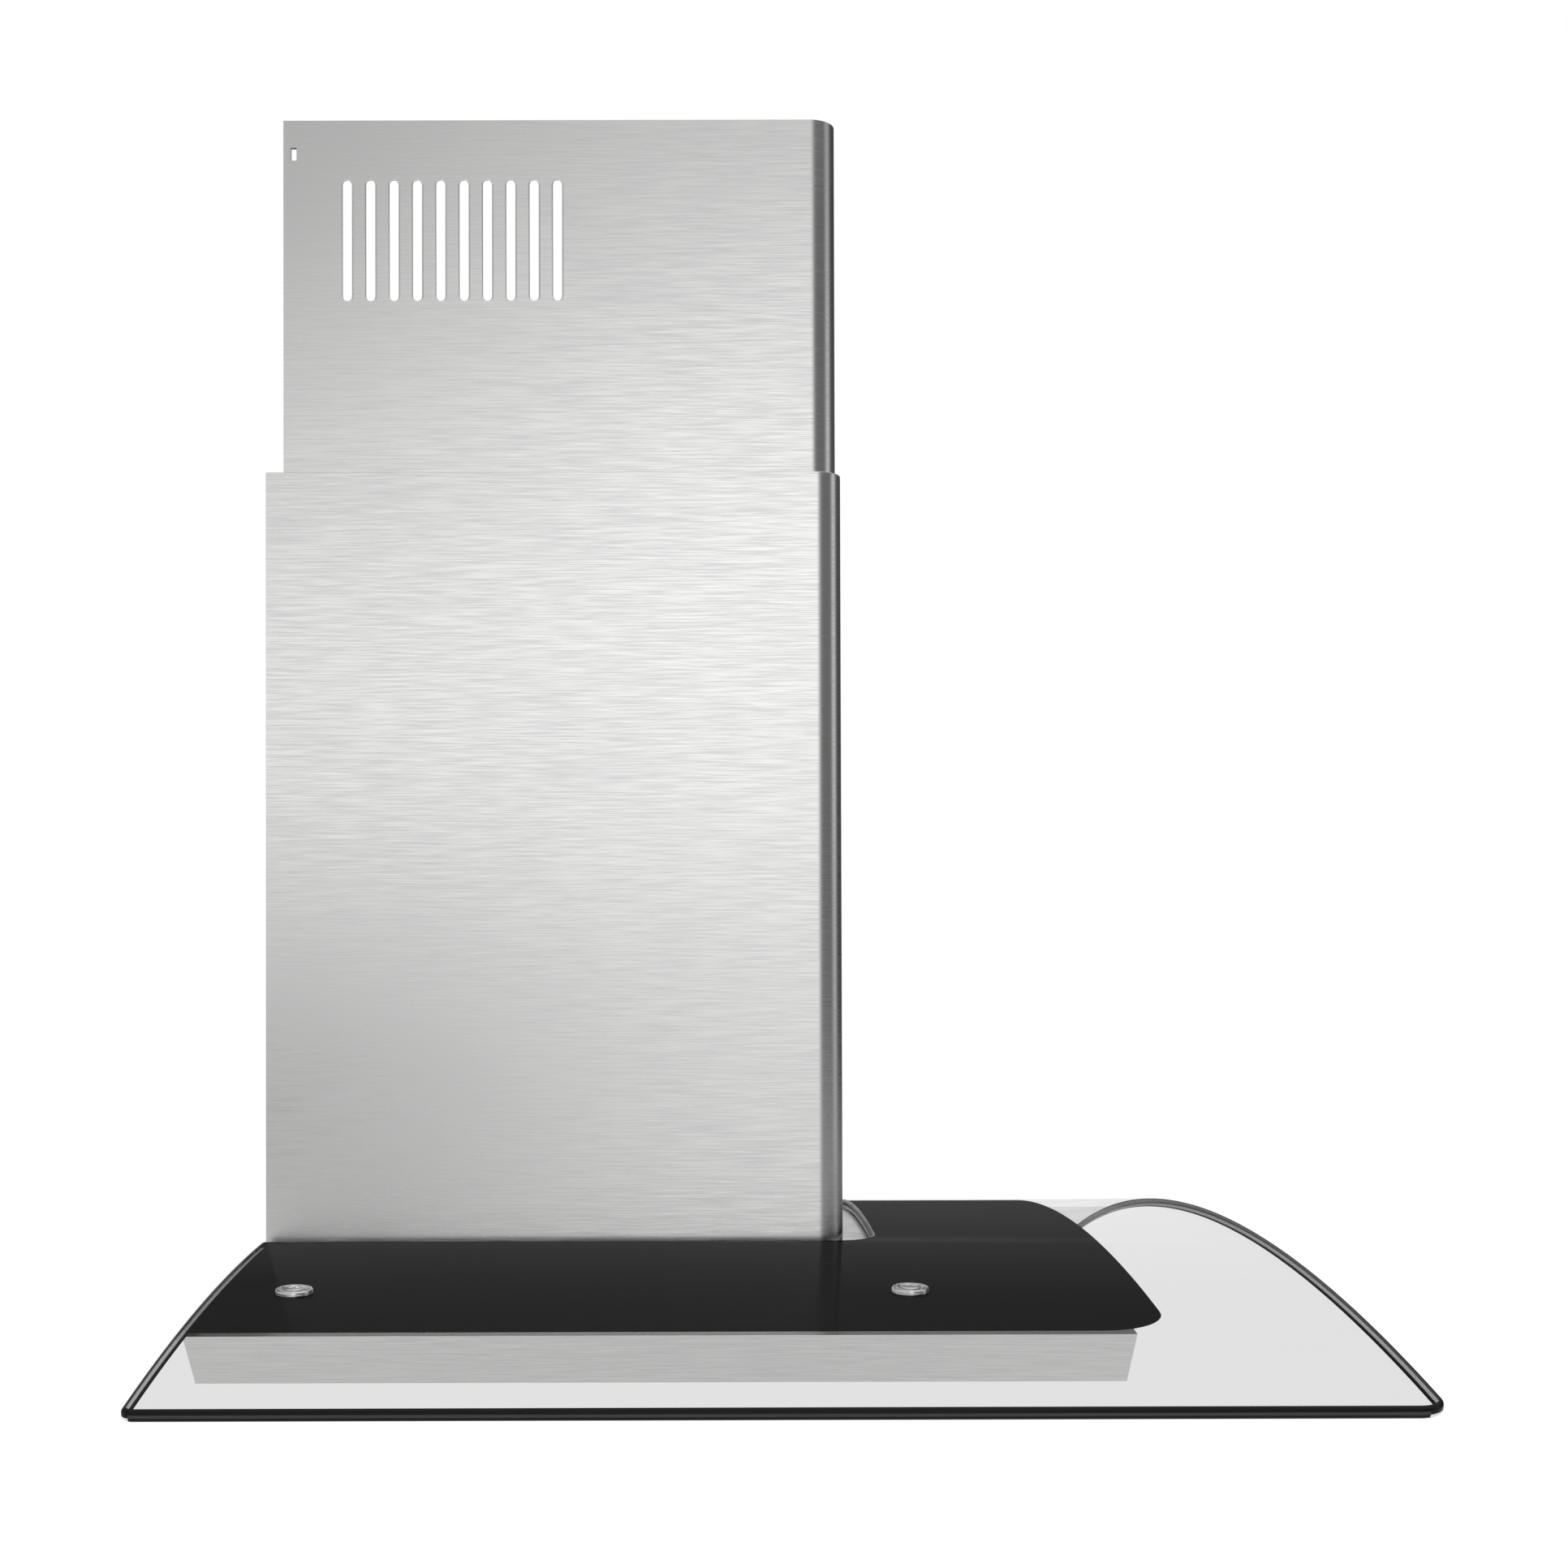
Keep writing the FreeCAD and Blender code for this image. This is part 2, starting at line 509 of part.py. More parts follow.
# Blower wheel about its own Z: a middle disc and hub, a ring of blades, and two end rings
def circles(body, radii, rise="0"):
    sketch = body.newObject("Sketcher::SketchObject", "Circles")
    plane = [f for f in body.Origin.OriginFeatures if f.Role == "XY_Plane"][0]
    sketch.AttachmentSupport = [(plane, "")]
    sketch.MapMode = "FlatFace"
    for i, radius in enumerate(radii):
        sketch.addGeometry(Part.Circle(FreeCAD.Vector(), FreeCAD.Vector(0, 0, 1), 1 + i))
        sketch.addConstraint(Sketcher.Constraint("Coincident", i, 3, -1, 1))
        index = sketch.addConstraint(Sketcher.Constraint("Radius", i, 1.0 + i))
        bind(sketch, f"Constraints[{index}]", radius)
    bind(sketch, "AttachmentOffset.Base.z", rise)
    return sketch


def pad(body, sketch, length, symmetric=False):
    feature = body.newObject("PartDesign::Pad", "Pad")
    feature.Profile = sketch
    bind(feature, "Length", length)
    if symmetric:
        feature.SideType = "Symmetric"
    body.Tip = feature
    doc.recompute()
    return feature


wheel = doc.addObject("PartDesign::Body", "Wheel")
pad(wheel, circles(wheel, ["wheel_radius", "shaft_radius"]), "disc_thick")
pad(wheel, circles(wheel, ["hub_radius", "shaft_radius"], "-hub_long"),
    "hub_long + disc_thick / 2")
blade_inner = "wheel_radius - blade_long + blade_thick"
blade_outer = "wheel_radius - blade_thick"
blade_corners = [(blade_inner, "-blade_thick / 2"), (blade_outer, "-blade_thick / 2"),
                 (blade_outer, "blade_thick / 2"), (blade_inner, "blade_thick / 2")]
blade = pad(wheel, outline(wheel, "XY_Plane", blade_corners), "2 * wheel_half - wheel_rim / 3",
            True)
ring_of_blades = wheel.newObject("PartDesign::PolarPattern", "RingOfBlades")
ring_of_blades.Originals = [blade]
ring_of_blades.Axis = (blade.Profile[0], ["N_Axis"])
ring_of_blades.Angle = 360
bind(ring_of_blades, "Occurrences", "blades")
wheel.Tip = ring_of_blades
doc.recompute()
for rise in ("-wheel_half", "wheel_half - wheel_rim"):
    pad(wheel, circles(wheel, ["wheel_radius", "wheel_radius - blade_long"], rise), "wheel_rim")
place(wheel, "0", *fan, RIGHT)
node("impeller", wheel)

# Electrical pieces on the outside of the blower box
capacitor_at = ("-blower_wide / 2 - capacitor_radius - capacitor_gap", "capacitor_y")
capacitor = rod(*capacitor_at, "capacitor_low", "capacitor_radius", "capacitor_long")
node("capacitor", capacitor)
band = tube(*capacitor_at, "band_low", "capacitor_radius + band_thick", "capacitor_radius",
            "band_high")
band_foot = box("-blower_wide / 2 - strip_thick", "capacitor_y - band_foot / 2", "band_low",
                "strip_thick", "band_foot", "band_high")
node("capacitor_clip", fuse(band, cut(band_foot, capacitor)))

box_at = ("blower_wide / 2", "-box_rear - box_deep", "box_low")
gland_at = ("blower_wide / 2 + box_wide / 2", "-box_rear - box_deep / 2")
case = cut(box(*box_at, "box_wide", "box_deep", "box_high"),
           box("blower_wide / 2 + gauge", "-box_rear - box_deep + gauge", "box_low + gauge",
               "box_wide", "box_deep - 2 * gauge", "box_high - 2 * gauge"),
           rod(*gland_at, "box_low + box_high - 2 * gauge", "gland_bore", "4 * gauge"))
node("junction_box", case)
node("junction_cover", box("blower_wide / 2 + box_wide", *box_at[1:], "cover_thick", "box_deep",
                           "box_high"))
node("cable_gland", tube(*gland_at, "box_low + box_high", "gland_radius", "gland_bore",
                         "gland_high"))

# Duct collar, with two flaps that hinge on a pair of pins across it
collar = fuse(rod("0", "collar_y", "blower_top", "collar_radius", "collar_high"),
              rod("0", "collar_y", "blower_top", "seat_radius", "seat_thick"))
pin_z = "blower_top + pin_high"
pins = [rod(f"{side} * pin_offset", "collar_y + collar_radius - pin_short", pin_z, "pin_radius",
            "2 * (collar_radius - pin_short)", FRONT) for side in (-1, 1)]
collar_inside = cut(rod("0", "collar_y", "blower_top", "collar_radius - collar_wall",
                        "collar_high"),
                    tube("0", "collar_y", f"{pin_z} - flap_thick / 2 - ledge_gap - ledge_high",
                         "collar_radius", "ledge_radius", "ledge_high"))
node("duct_collar", cut(collar, collar_inside, *pins))
node("damper_pins", group(*pins))
for word, side in (("left", -1), ("right", 1)):
    disc = rod("0", "collar_y", f"{pin_z} - flap_thick / 2", "flap_radius", "flap_thick")
    half = common(disc, box(f"{side} * (flap_radius / 2 + pin_offset) - flap_radius / 2",
                            "collar_y - flap_radius", f"{pin_z} - barrel_radius", "flap_radius",
                            "2 * flap_radius", "2 * barrel_radius"))
    ends = [box(f"{side} * pin_offset - barrel_radius - barrel_gap",
                f"collar_y - flap_radius + {shift}", f"{pin_z} - barrel_radius",
                "2 * (barrel_radius + barrel_gap)", "flap_radius - barrel_long / 2",
                "2 * barrel_radius") for shift in ("0", "flap_radius + barrel_long / 2")]
    barrel = rod(f"{side} * pin_offset", "collar_y + barrel_long / 2", pin_z, "barrel_radius",
                 "barrel_long", FRONT)
    bore = rod(f"{side} * pin_offset", "collar_y + collar_radius", pin_z,
               "pin_radius + shaft_fit", "2 * collar_radius", FRONT)
    node(f"damper_flap_{word}", cut(fuse(cut(half, *ends), barrel), bore))

# Wall bracket, the hooks that hang on it, and the bracket at the top of the chimney
plate = box("-plate_wide / 2", "-plate_thick", "-underside_z - plate_high / 2", "plate_wide",
            "plate_thick", "plate_high")
top_edge = "-underside_z + plate_high / 2"
shelf = box("-plate_wide / 2", "-shelf_deep", f"{top_edge} - plate_thick", "plate_wide",
            "shelf_deep", "plate_thick")
lip = box("-plate_wide / 2", "-shelf_deep", f"{top_edge} - plate_thick", "plate_wide",
          "plate_thick", "lip_high + plate_thick")
wall_holes = [rod(f"{x} * wall_spread_x / 2", "0", f"-underside_z + {z} * wall_spread_z / 2",
                  "wall_hole", "plate_thick", FRONT) for x in (-1, 1) for z in (-1, 1)]
node("wall_bracket", cut(fuse(plate, shelf, lip), *wall_holes))

hooks = []
for side in (-1, 1):
    left = f"{side} * hook_side - hook_wide / 2"
    over = box(left, "-blower_rear", f"{top_edge} + lip_high", "hook_wide",
               "blower_rear - hook_front", "hook_thick")
    down = box(left, "-hook_front - hook_thick", f"{top_edge} + lip_high - hook_drop",
               "hook_wide", "hook_thick", "hook_drop + hook_thick")
    back = box(left, "-blower_rear", f"{top_edge} + lip_high", "hook_wide", "hook_thick",
               "hook_back")
    hooks.append(fuse(over, down, back))
node("hanging_hooks", group(*hooks))

# The strap touches the wall only behind the middle of the chimney, then steps forward into it.
# It lies below the fixing slots, and its tabs rise to them
strap_low = "upper_top - strap_drop - strap_high"
strap_half = "(chimney_wide / 2 - upper_inset - gauge)"
strap = [box("-strap_flat / 2", "-strap_thick", strap_low, "strap_flat", "strap_thick",
             "strap_high")]
for side in (-1, 1):
    strap.append(box(f"{side} * (strap_flat / 2 - strap_thick / 2) - strap_thick / 2",
                     "-strap_step", strap_low, "strap_thick", "strap_step", "strap_high"))
    wing = f"({strap_half} - strap_flat / 2)"
    strap.append(box(f"{side} * (strap_flat / 2 + {wing} / 2) - {wing} / 2", "-strap_step",
                     strap_low, wing, "strap_thick", "strap_high"))
    strap.append(box(f"{side} * ({strap_half} - strap_thick / 2) - strap_thick / 2",
                     "-tab_deep", strap_low, "strap_thick", "tab_deep - strap_step",
                     "strap_high + tab_rise"))
strap_holes = [rod(f"{side} * strap_spread / 2", "0", f"{strap_low} + strap_high / 2",
                   "strap_hole", "strap_thick", FRONT) for side in (-1, 1)]
strap_holes.append(box("-chimney_wide / 2", "-fixing_rear - fixing_wide / 2",
                       "upper_top - fixing_drop - fixing_high / 2", "chimney_wide",
                       "fixing_wide", "fixing_high"))
node("chimney_bracket", cut(fuse(*strap), *strap_holes))

doc.recompute()
for thing in doc.Objects:
    state = [word for word in thing.State if word in ("Invalid", "Error")]
    if state:
        raise RuntimeError(f"{thing.Label} ({thing.Name}) is {state}: {thing.getStatusString()}")
for name, thing in nodes.items():
    if thing.Shape.isNull() or not thing.Shape.isValid():
        raise RuntimeError(f"{name} has no valid shape")
for name, thing in nodes.items():
    thing.Shape.exportStep(f"parts/{name}.step")
    extent = thing.Shape.BoundBox
    print(name, len(thing.Shape.Solids), [round(v, 1) for v in (
        extent.XMin, extent.XMax, extent.YMin, extent.YMax, extent.ZMin, extent.ZMax)],
        round(thing.Shape.Volume))
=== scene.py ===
import json
import math

import bmesh
import bpy
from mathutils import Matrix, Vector

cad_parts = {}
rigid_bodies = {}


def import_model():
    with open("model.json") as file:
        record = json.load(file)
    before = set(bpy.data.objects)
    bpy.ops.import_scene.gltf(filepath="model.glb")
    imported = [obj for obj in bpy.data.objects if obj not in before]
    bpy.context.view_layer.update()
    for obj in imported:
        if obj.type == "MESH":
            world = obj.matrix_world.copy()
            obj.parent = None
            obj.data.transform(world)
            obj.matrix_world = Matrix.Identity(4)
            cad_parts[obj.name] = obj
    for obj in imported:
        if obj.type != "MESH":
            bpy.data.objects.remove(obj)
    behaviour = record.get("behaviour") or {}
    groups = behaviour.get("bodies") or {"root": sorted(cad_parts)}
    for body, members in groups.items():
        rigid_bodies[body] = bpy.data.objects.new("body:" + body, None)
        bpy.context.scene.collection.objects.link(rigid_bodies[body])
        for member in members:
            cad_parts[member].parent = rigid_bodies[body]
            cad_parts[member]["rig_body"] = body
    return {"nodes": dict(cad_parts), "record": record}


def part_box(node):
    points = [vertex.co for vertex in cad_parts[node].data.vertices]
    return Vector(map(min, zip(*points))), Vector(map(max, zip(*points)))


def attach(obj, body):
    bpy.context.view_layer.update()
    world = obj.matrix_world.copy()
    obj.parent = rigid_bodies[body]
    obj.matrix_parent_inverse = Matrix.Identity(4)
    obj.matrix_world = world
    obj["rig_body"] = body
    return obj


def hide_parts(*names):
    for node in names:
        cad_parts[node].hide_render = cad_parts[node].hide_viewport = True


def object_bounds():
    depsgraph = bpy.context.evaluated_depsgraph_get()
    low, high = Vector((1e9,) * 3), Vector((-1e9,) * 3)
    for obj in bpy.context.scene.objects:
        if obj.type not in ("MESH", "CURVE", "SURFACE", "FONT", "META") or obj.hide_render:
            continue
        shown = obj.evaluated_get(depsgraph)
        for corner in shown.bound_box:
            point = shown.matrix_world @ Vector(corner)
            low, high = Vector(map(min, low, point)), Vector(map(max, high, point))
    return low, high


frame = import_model()
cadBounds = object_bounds()
cadNodes = frame["nodes"]
bodyOf = {name: node["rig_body"] for name, node in cadNodes.items()}
mm = 0.001
print("frame loaded:", len(cadNodes), "nodes")


# Node trees: a Wire is one output, and sums on it add Math nodes
class Wire:
    def __init__(self, graph, socket):
        self.graph = graph
        self.socket = socket

    def maths(self, operation, first, second):
        return self.graph.node("ShaderNodeMath", {"operation": operation}, {0: first, 1: second})

    def __add__(self, other):
        return self.maths("ADD", self, other)

    def __radd__(self, other):
        return self.maths("ADD", other, self)

    def __sub__(self, other):
        return self.maths("SUBTRACT", self, other)

    def __rsub__(self, other):
        return self.maths("SUBTRACT", other, self)

    def __mul__(self, other):
        return self.maths("MULTIPLY", self, other)

    def __rmul__(self, other):
        return self.maths("MULTIPLY", other, self)

    def __truediv__(self, other):
        return self.maths("DIVIDE", self, other)

    def output(self, name):
        return Wire(self.graph, self.socket.node.outputs[name])

    def number(self):
        # a random value has several outputs of one name, and its number is the second
        return self.output(1)


class Graph:
    def __init__(self, tree):
        self.tree = tree

    def feed(self, socket, value):
        if isinstance(value, Wire):
            self.tree.links.new(value.socket, socket)
        else:
            socket.default_value = value

    def node(self, kind, settings=None, sockets=None):
        made = self.tree.nodes.new(kind)
        for name, value in (settings or {}).items():
            if name == "stops":
                self.setStops(made.color_ramp, value)
            else:
                setattr(made, name, value)
        for name, value in (sockets or {}).items():
            self.feed(made.inputs[name], value)
        return Wire(self, made.outputs[0] if made.outputs else None)

    def setStops(self, ramp, stops):
        while len(ramp.elements) < len(stops):
            ramp.elements.new(1.0)
        for element, (place, level) in zip(ramp.elements, stops):
            element.position = place
            element.color = (level, level, level, 1.0)

    def spread(self, value, low, high, outLow=0.0, outHigh=1.0):
        return self.node("ShaderNodeMapRange", {"interpolation_type": "SMOOTHSTEP"},
                         {"Value": value, "From Min": low, "From Max": high, "To Min": outLow,
                          "To Max": outHigh})

    def blend(self, factor, first, second):
        return self.node("ShaderNodeMix", {"data_type": "RGBA"},
                         {0: factor, 6: first, 7: second}).output(2)


def grey(level):
    return (level, level, level, 1.0)


def colour(red, green, blue):
    return (red, green, blue, 1.0)


# Materials
def newMaterial(name):
    material = bpy.data.materials.new(name)
    material.use_nodes = True
    graph = Graph(material.node_tree)
    shader = material.node_tree.nodes["Principled BSDF"]
    return material, graph, shader


def stretched(graph, scale, detail=3.0):
    place = graph.node("ShaderNodeTexCoord").output("Object")
    place = graph.node("ShaderNodeMapping", None, {"Vector": place, "Scale": scale})
    return graph.node("ShaderNodeTexNoise", None,
                      {"Vector": place, "Scale": 1.0, "Detail": detail, "Roughness": 0.55})


def bump(graph, height, strength, distance):
    return graph.node("ShaderNodeBump", None,
                      {"Strength": strength, "Distance": distance, "Height": height})


brushedSteel = {
    "grainLong": 42.0, "grainFine": 1700.0, "light": 0.82, "dark": 0.71, "smooth": 0.20,
    "rough": 0.28, "relief": 0.000004,
}


def brushed(name, fineAxis, looks):
    # Sheet steel rubbed with an abrasive belt: fine across one axis, long on the others
    material, graph, shader = newMaterial(name)
    scale = [looks["grainLong"]] * 3
    scale[fineAxis] = looks["grainFine"]
    grain = stretched(graph, scale)
    broad = stretched(graph, (6.0, 6.0, 9.0), 2.0)
    level = graph.spread(grain * 0.8 + broad * 0.2, 0.3, 0.7)
    tint = graph.blend(level, grey(looks["dark"]), colour(looks["light"], looks["light"] * 0.995,
                                                          looks["light"] * 0.985))
    graph.feed(shader.inputs["Base Color"], tint)
    graph.feed(shader.inputs["Roughness"],
               graph.spread(grain, 0.25, 0.75, looks["rough"], looks["smooth"]))
    graph.feed(shader.inputs["Normal"], bump(graph, grain, 0.35, looks["relief"]))
    shader.inputs["Metallic"].default_value = 1.0
    return material


def zincSheet():
    # Zinc plate: faint crystals, a little cloudy, fine scratches
    material, graph, shader = newMaterial("zincSheet")
    place = graph.node("ShaderNodeTexCoord").output("Object")
    crystals = graph.node("ShaderNodeTexVoronoi", {"feature": "F1"},
                          {"Vector": place, "Scale": 110.0})
    cloud = stretched(graph, (14.0, 14.0, 14.0), 4.0)
    scratches = stretched(graph, (900.0, 60.0, 60.0), 2.0)
    level = crystals.output("Color")
    tint = graph.blend(level * 0.35 + cloud * 0.5, colour(0.44, 0.46, 0.48),
                       colour(0.66, 0.68, 0.70))
    graph.feed(shader.inputs["Base Color"], tint)
    graph.feed(shader.inputs["Roughness"], graph.spread(cloud + scratches, 0.7, 1.3, 0.30, 0.46))
    graph.feed(shader.inputs["Normal"], bump(graph, scratches, 0.2, 0.00003))
    shader.inputs["Metallic"].default_value = 1.0
    return material


def turnedSteel():
    material, graph, shader = newMaterial("turnedSteel")
    wear = stretched(graph, (400.0, 400.0, 400.0), 3.0)
    graph.feed(shader.inputs["Base Color"], graph.blend(wear, grey(0.72), grey(0.86)))
    graph.feed(shader.inputs["Roughness"], graph.spread(wear, 0.3, 0.7, 0.08, 0.20))
    shader.inputs["Metallic"].default_value = 1.0
    return material


def clearGlass():
    # The sheet's two faces are thin veils: nearly all light goes through, some is held back
    material, graph, shader = newMaterial("clearGlass")
    film = stretched(graph, (30.0, 30.0, 30.0), 2.0)
    graph.feed(shader.inputs["Base Color"], graph.blend(film, colour(0.020, 0.024, 0.023),
                                                       colour(0.026, 0.031, 0.029)))
    graph.feed(shader.inputs["Roughness"], graph.spread(film, 0.3, 0.7, 0.03, 0.05))
    shader.inputs["Alpha"].default_value = 0.15
    shader.inputs["IOR"].default_value = 1.5
    shader.inputs["Specular IOR Level"].default_value = 0.03
    return material


def glassEdgeLightAndShade(name, dark, light):
    # Ground and polished edge of the glass. Its colour is painted light and shade: dark for the
    # shade of an edge that gathers no light from behind, pale for a painted highlight, and bright
    # for painted light coming through the glass
    material, graph, shader = newMaterial(name)
    lines = stretched(graph, (40.0, 40.0, 2500.0), 2.0)
    graph.feed(shader.inputs["Base Color"], graph.blend(lines, grey(dark), grey(light)))
    graph.feed(shader.inputs["Roughness"], graph.spread(lines, 0.3, 0.7, 0.10, 0.22))
    shader.inputs["IOR"].default_value = 1.5
    shader.inputs["Specular IOR Level"].default_value = 0.10
    return material


def blackEnamel():
    material, graph, shader = newMaterial("blackEnamel")
    fleck = stretched(graph, (700.0, 700.0, 700.0), 2.0)
    graph.feed(shader.inputs["Base Color"], graph.blend(fleck, grey(0.013), grey(0.017)))
    graph.feed(shader.inputs["Roughness"], graph.spread(fleck, 0.3, 0.7, 0.50, 0.60))
    shader.inputs["Specular IOR Level"].default_value = 0.0
    return material


def satinAluminium():
    material, graph, shader = newMaterial("satinAluminium")
    grain = stretched(graph, (30.0, 900.0, 900.0), 3.0)
    marks = stretched(graph, (50.0, 50.0, 50.0), 4.0)
    graph.feed(shader.inputs["Base Color"], graph.blend(grain, colour(0.60, 0.61, 0.62),
                                                       colour(0.78, 0.79, 0.80)))
    graph.feed(shader.inputs["Roughness"], graph.spread(grain + marks, 0.7, 1.3, 0.28, 0.42))
    graph.feed(shader.inputs["Normal"], bump(graph, grain, 0.25, 0.00003))
    shader.inputs["Metallic"].default_value = 1.0
    return material


def meshAluminium():
    material, graph, shader = newMaterial("meshAluminium")
    dull = stretched(graph, (180.0, 180.0, 180.0), 4.0)
    graph.feed(shader.inputs["Base Color"], graph.blend(dull, colour(0.48, 0.49, 0.50),
                                                       colour(0.74, 0.75, 0.77)))
    graph.feed(shader.inputs["Roughness"], graph.spread(dull, 0.3, 0.7, 0.30, 0.50))
    shader.inputs["Metallic"].default_value = 1.0
    return material


def moulded(name, tint, roughness, texture=0.00006):
    # Moulded plastic with a fine spark-eroded texture and a slow change of gloss
    material, graph, shader = newMaterial(name)
    fine = stretched(graph, (1400.0, 1400.0, 1400.0), 3.0)
    slow = stretched(graph, (18.0, 18.0, 18.0), 3.0)
    darker = colour(*[part * 0.86 for part in tint])
    graph.feed(shader.inputs["Base Color"], graph.blend(slow * 0.6 + fine * 0.4, darker,
                                                       colour(*tint)))
    graph.feed(shader.inputs["Roughness"],
               graph.spread(slow, 0.3, 0.7, roughness - 0.06, roughness + 0.06))
    graph.feed(shader.inputs["Normal"], bump(graph, fine, 0.3, texture))
    return material


def lensFrosted():
    material, graph, shader = newMaterial("frostedLens")
    place = graph.node("ShaderNodeTexCoord").output("Object")
    cells = graph.node("ShaderNodeTexVoronoi", {"feature": "SMOOTH_F1"},
                       {"Vector": place, "Scale": 420.0})
    level = graph.spread(cells, 0.1, 0.6)
    graph.feed(shader.inputs["Base Color"], graph.blend(level, colour(0.86, 0.86, 0.83),
                                                       colour(0.96, 0.96, 0.93)))
    graph.feed(shader.inputs["Roughness"], graph.spread(cells, 0.1, 0.6, 0.22, 0.38))
    graph.feed(shader.inputs["Normal"], bump(graph, cells, 0.5, 0.0004))
    return material


def circuitBoard():
    material, graph, shader = newMaterial("circuitBoard")
    place = graph.node("ShaderNodeTexCoord").output("Object")
    tracks = graph.node("ShaderNodeTexBrick", {"offset": 0.5},
                        {"Vector": place, "Scale": 260.0, "Mortar Size": 0.08})
    graph.feed(shader.inputs["Base Color"],
               graph.blend(tracks.output("Fac"), colour(0.012, 0.09, 0.035),
                           colour(0.03, 0.17, 0.07)))
    graph.feed(shader.inputs["Roughness"], graph.spread(tracks.output("Fac"), 0.0, 1.0, 0.3, 0.42))
    return material


def motorPaint():
    material, graph, shader = newMaterial("motorPaint")
    peel = stretched(graph, (500.0, 500.0, 500.0), 2.0)
    slow = stretched(graph, (25.0, 25.0, 25.0), 3.0)
    graph.feed(shader.inputs["Base Color"], graph.blend(slow, colour(0.045, 0.052, 0.062),
                                                       colour(0.075, 0.083, 0.095)))
    graph.feed(shader.inputs["Roughness"], graph.spread(slow, 0.3, 0.7, 0.32, 0.44))
    graph.feed(shader.inputs["Normal"], bump(graph, peel, 0.25, 0.0001))
    return material


materials = {
    "steel_brushed": brushed("brushedSteel", 2, brushedSteel),
    "glass_clear": clearGlass(),
    "enamel_black": blackEnamel(),
    "steel_zinc": zincSheet(),
    "steel_bright": turnedSteel(),
    "aluminium_mesh": meshAluminium(),
    "aluminium_frame": satinAluminium(),
    "plastic_black": moulded("blackPlastic", (0.022, 0.022, 0.023), 0.48),
    "plastic_grey": moulded("greyPlastic", (0.30, 0.31, 0.32), 0.5),
    "plastic_white": moulded("whitePlastic", (0.78, 0.78, 0.75), 0.42),
    "lens_frosted": lensFrosted(),
    "button_steel": brushed("buttonSteel", 2, {**brushedSteel, "light": 0.76, "dark": 0.66}),
    "board_green": circuitBoard(),
    "rubber_black": moulded("blackRubber", (0.018, 0.018, 0.018), 0.72),
    "motor_paint": motorPaint(),
}
# The glass edge's colours are painted: shade, a bright line of light through the glass, and a pale
# highlight
paintedEdgeShades = [glassEdgeLightAndShade("paintedShadeGlassEdge", 0.006, 0.014),
                glassEdgeLightAndShade("paintedLightGlassEdge", 0.90, 0.97),
                glassEdgeLightAndShade("paintedHighlightGlassEdge", 0.045, 0.070)]
panelSteel = brushed("brushedPanelSteel", 1, brushedSteel)
slotOf = {part["node"]: part["material_slot"] for part in frame["record"]["subparts"]}
for name, node in cadNodes.items():
    node.data.materials.clear()
    node.data.materials.append(materials[slotOf[name]])
print("materials made:", len(materials) + 4)


# Pieces
def addPiece(name, mesh, body, slotName, *replaced):
    piece = bpy.data.objects.new(name, mesh)
    bpy.context.scene.collection.objects.link(piece)
    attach(piece, body)
    if replaced:
        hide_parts(*replaced)
    return piece


def applied(name, piece):
    # The mesh that the modifiers give, as a plain mesh; the working object goes
    bpy.context.view_layer.update()
    graph = bpy.context.evaluated_depsgraph_get()
    mesh = bpy.data.meshes.new_from_object(piece.evaluated_get(graph), depsgraph=graph)
    mesh.name = name
    working = piece.data
    bpy.data.objects.remove(piece)
    if working.users == 0:
        bpy.data.meshes.remove(working)
    return mesh


def workingObject(name, meshTool, *pieceMaterials):
    mesh = bpy.data.meshes.new(name)
    meshTool.to_mesh(mesh)
    meshTool.free()
    for material in pieceMaterials:
        mesh.materials.append(material)
    piece = bpy.data.objects.new(name, mesh)
    bpy.context.scene.collection.objects.link(piece)
    return piece


def setInputs(piece, tree, values):
    # Geometry Nodes inputs are set by their sockets' identifiers
    modifier = piece.modifiers.new(tree.name, "NODES")
    modifier.node_group = tree
    for item in tree.interface.items_tree:
        if item.in_out == "INPUT" and item.name in values:
            modifier[item.identifier] = values[item.name]
    return modifier


def newGeometryTree(name, inputs):
    tree = bpy.data.node_groups.new(name, "GeometryNodeTree")
    tree.interface.new_socket("Geometry", in_out="INPUT", socket_type="NodeSocketGeometry")
    for label, kind in inputs:
        tree.interface.new_socket(label, in_out="INPUT", socket_type="NodeSocket" + kind)
    tree.interface.new_socket("Geometry", in_out="OUTPUT", socket_type="NodeSocketGeometry")
    graph = Graph(tree)
    return tree, graph, graph.node("NodeGroupInput")


def closeTree(graph, geometry, material):
    geometry = graph.node("GeometryNodeRealizeInstances", None, {"Geometry": geometry})
    if material:
        geometry = graph.node("GeometryNodeSetMaterial", None,
                              {"Geometry": geometry, "Material": material})
    graph.node("NodeGroupOutput", None, {"Geometry": geometry})


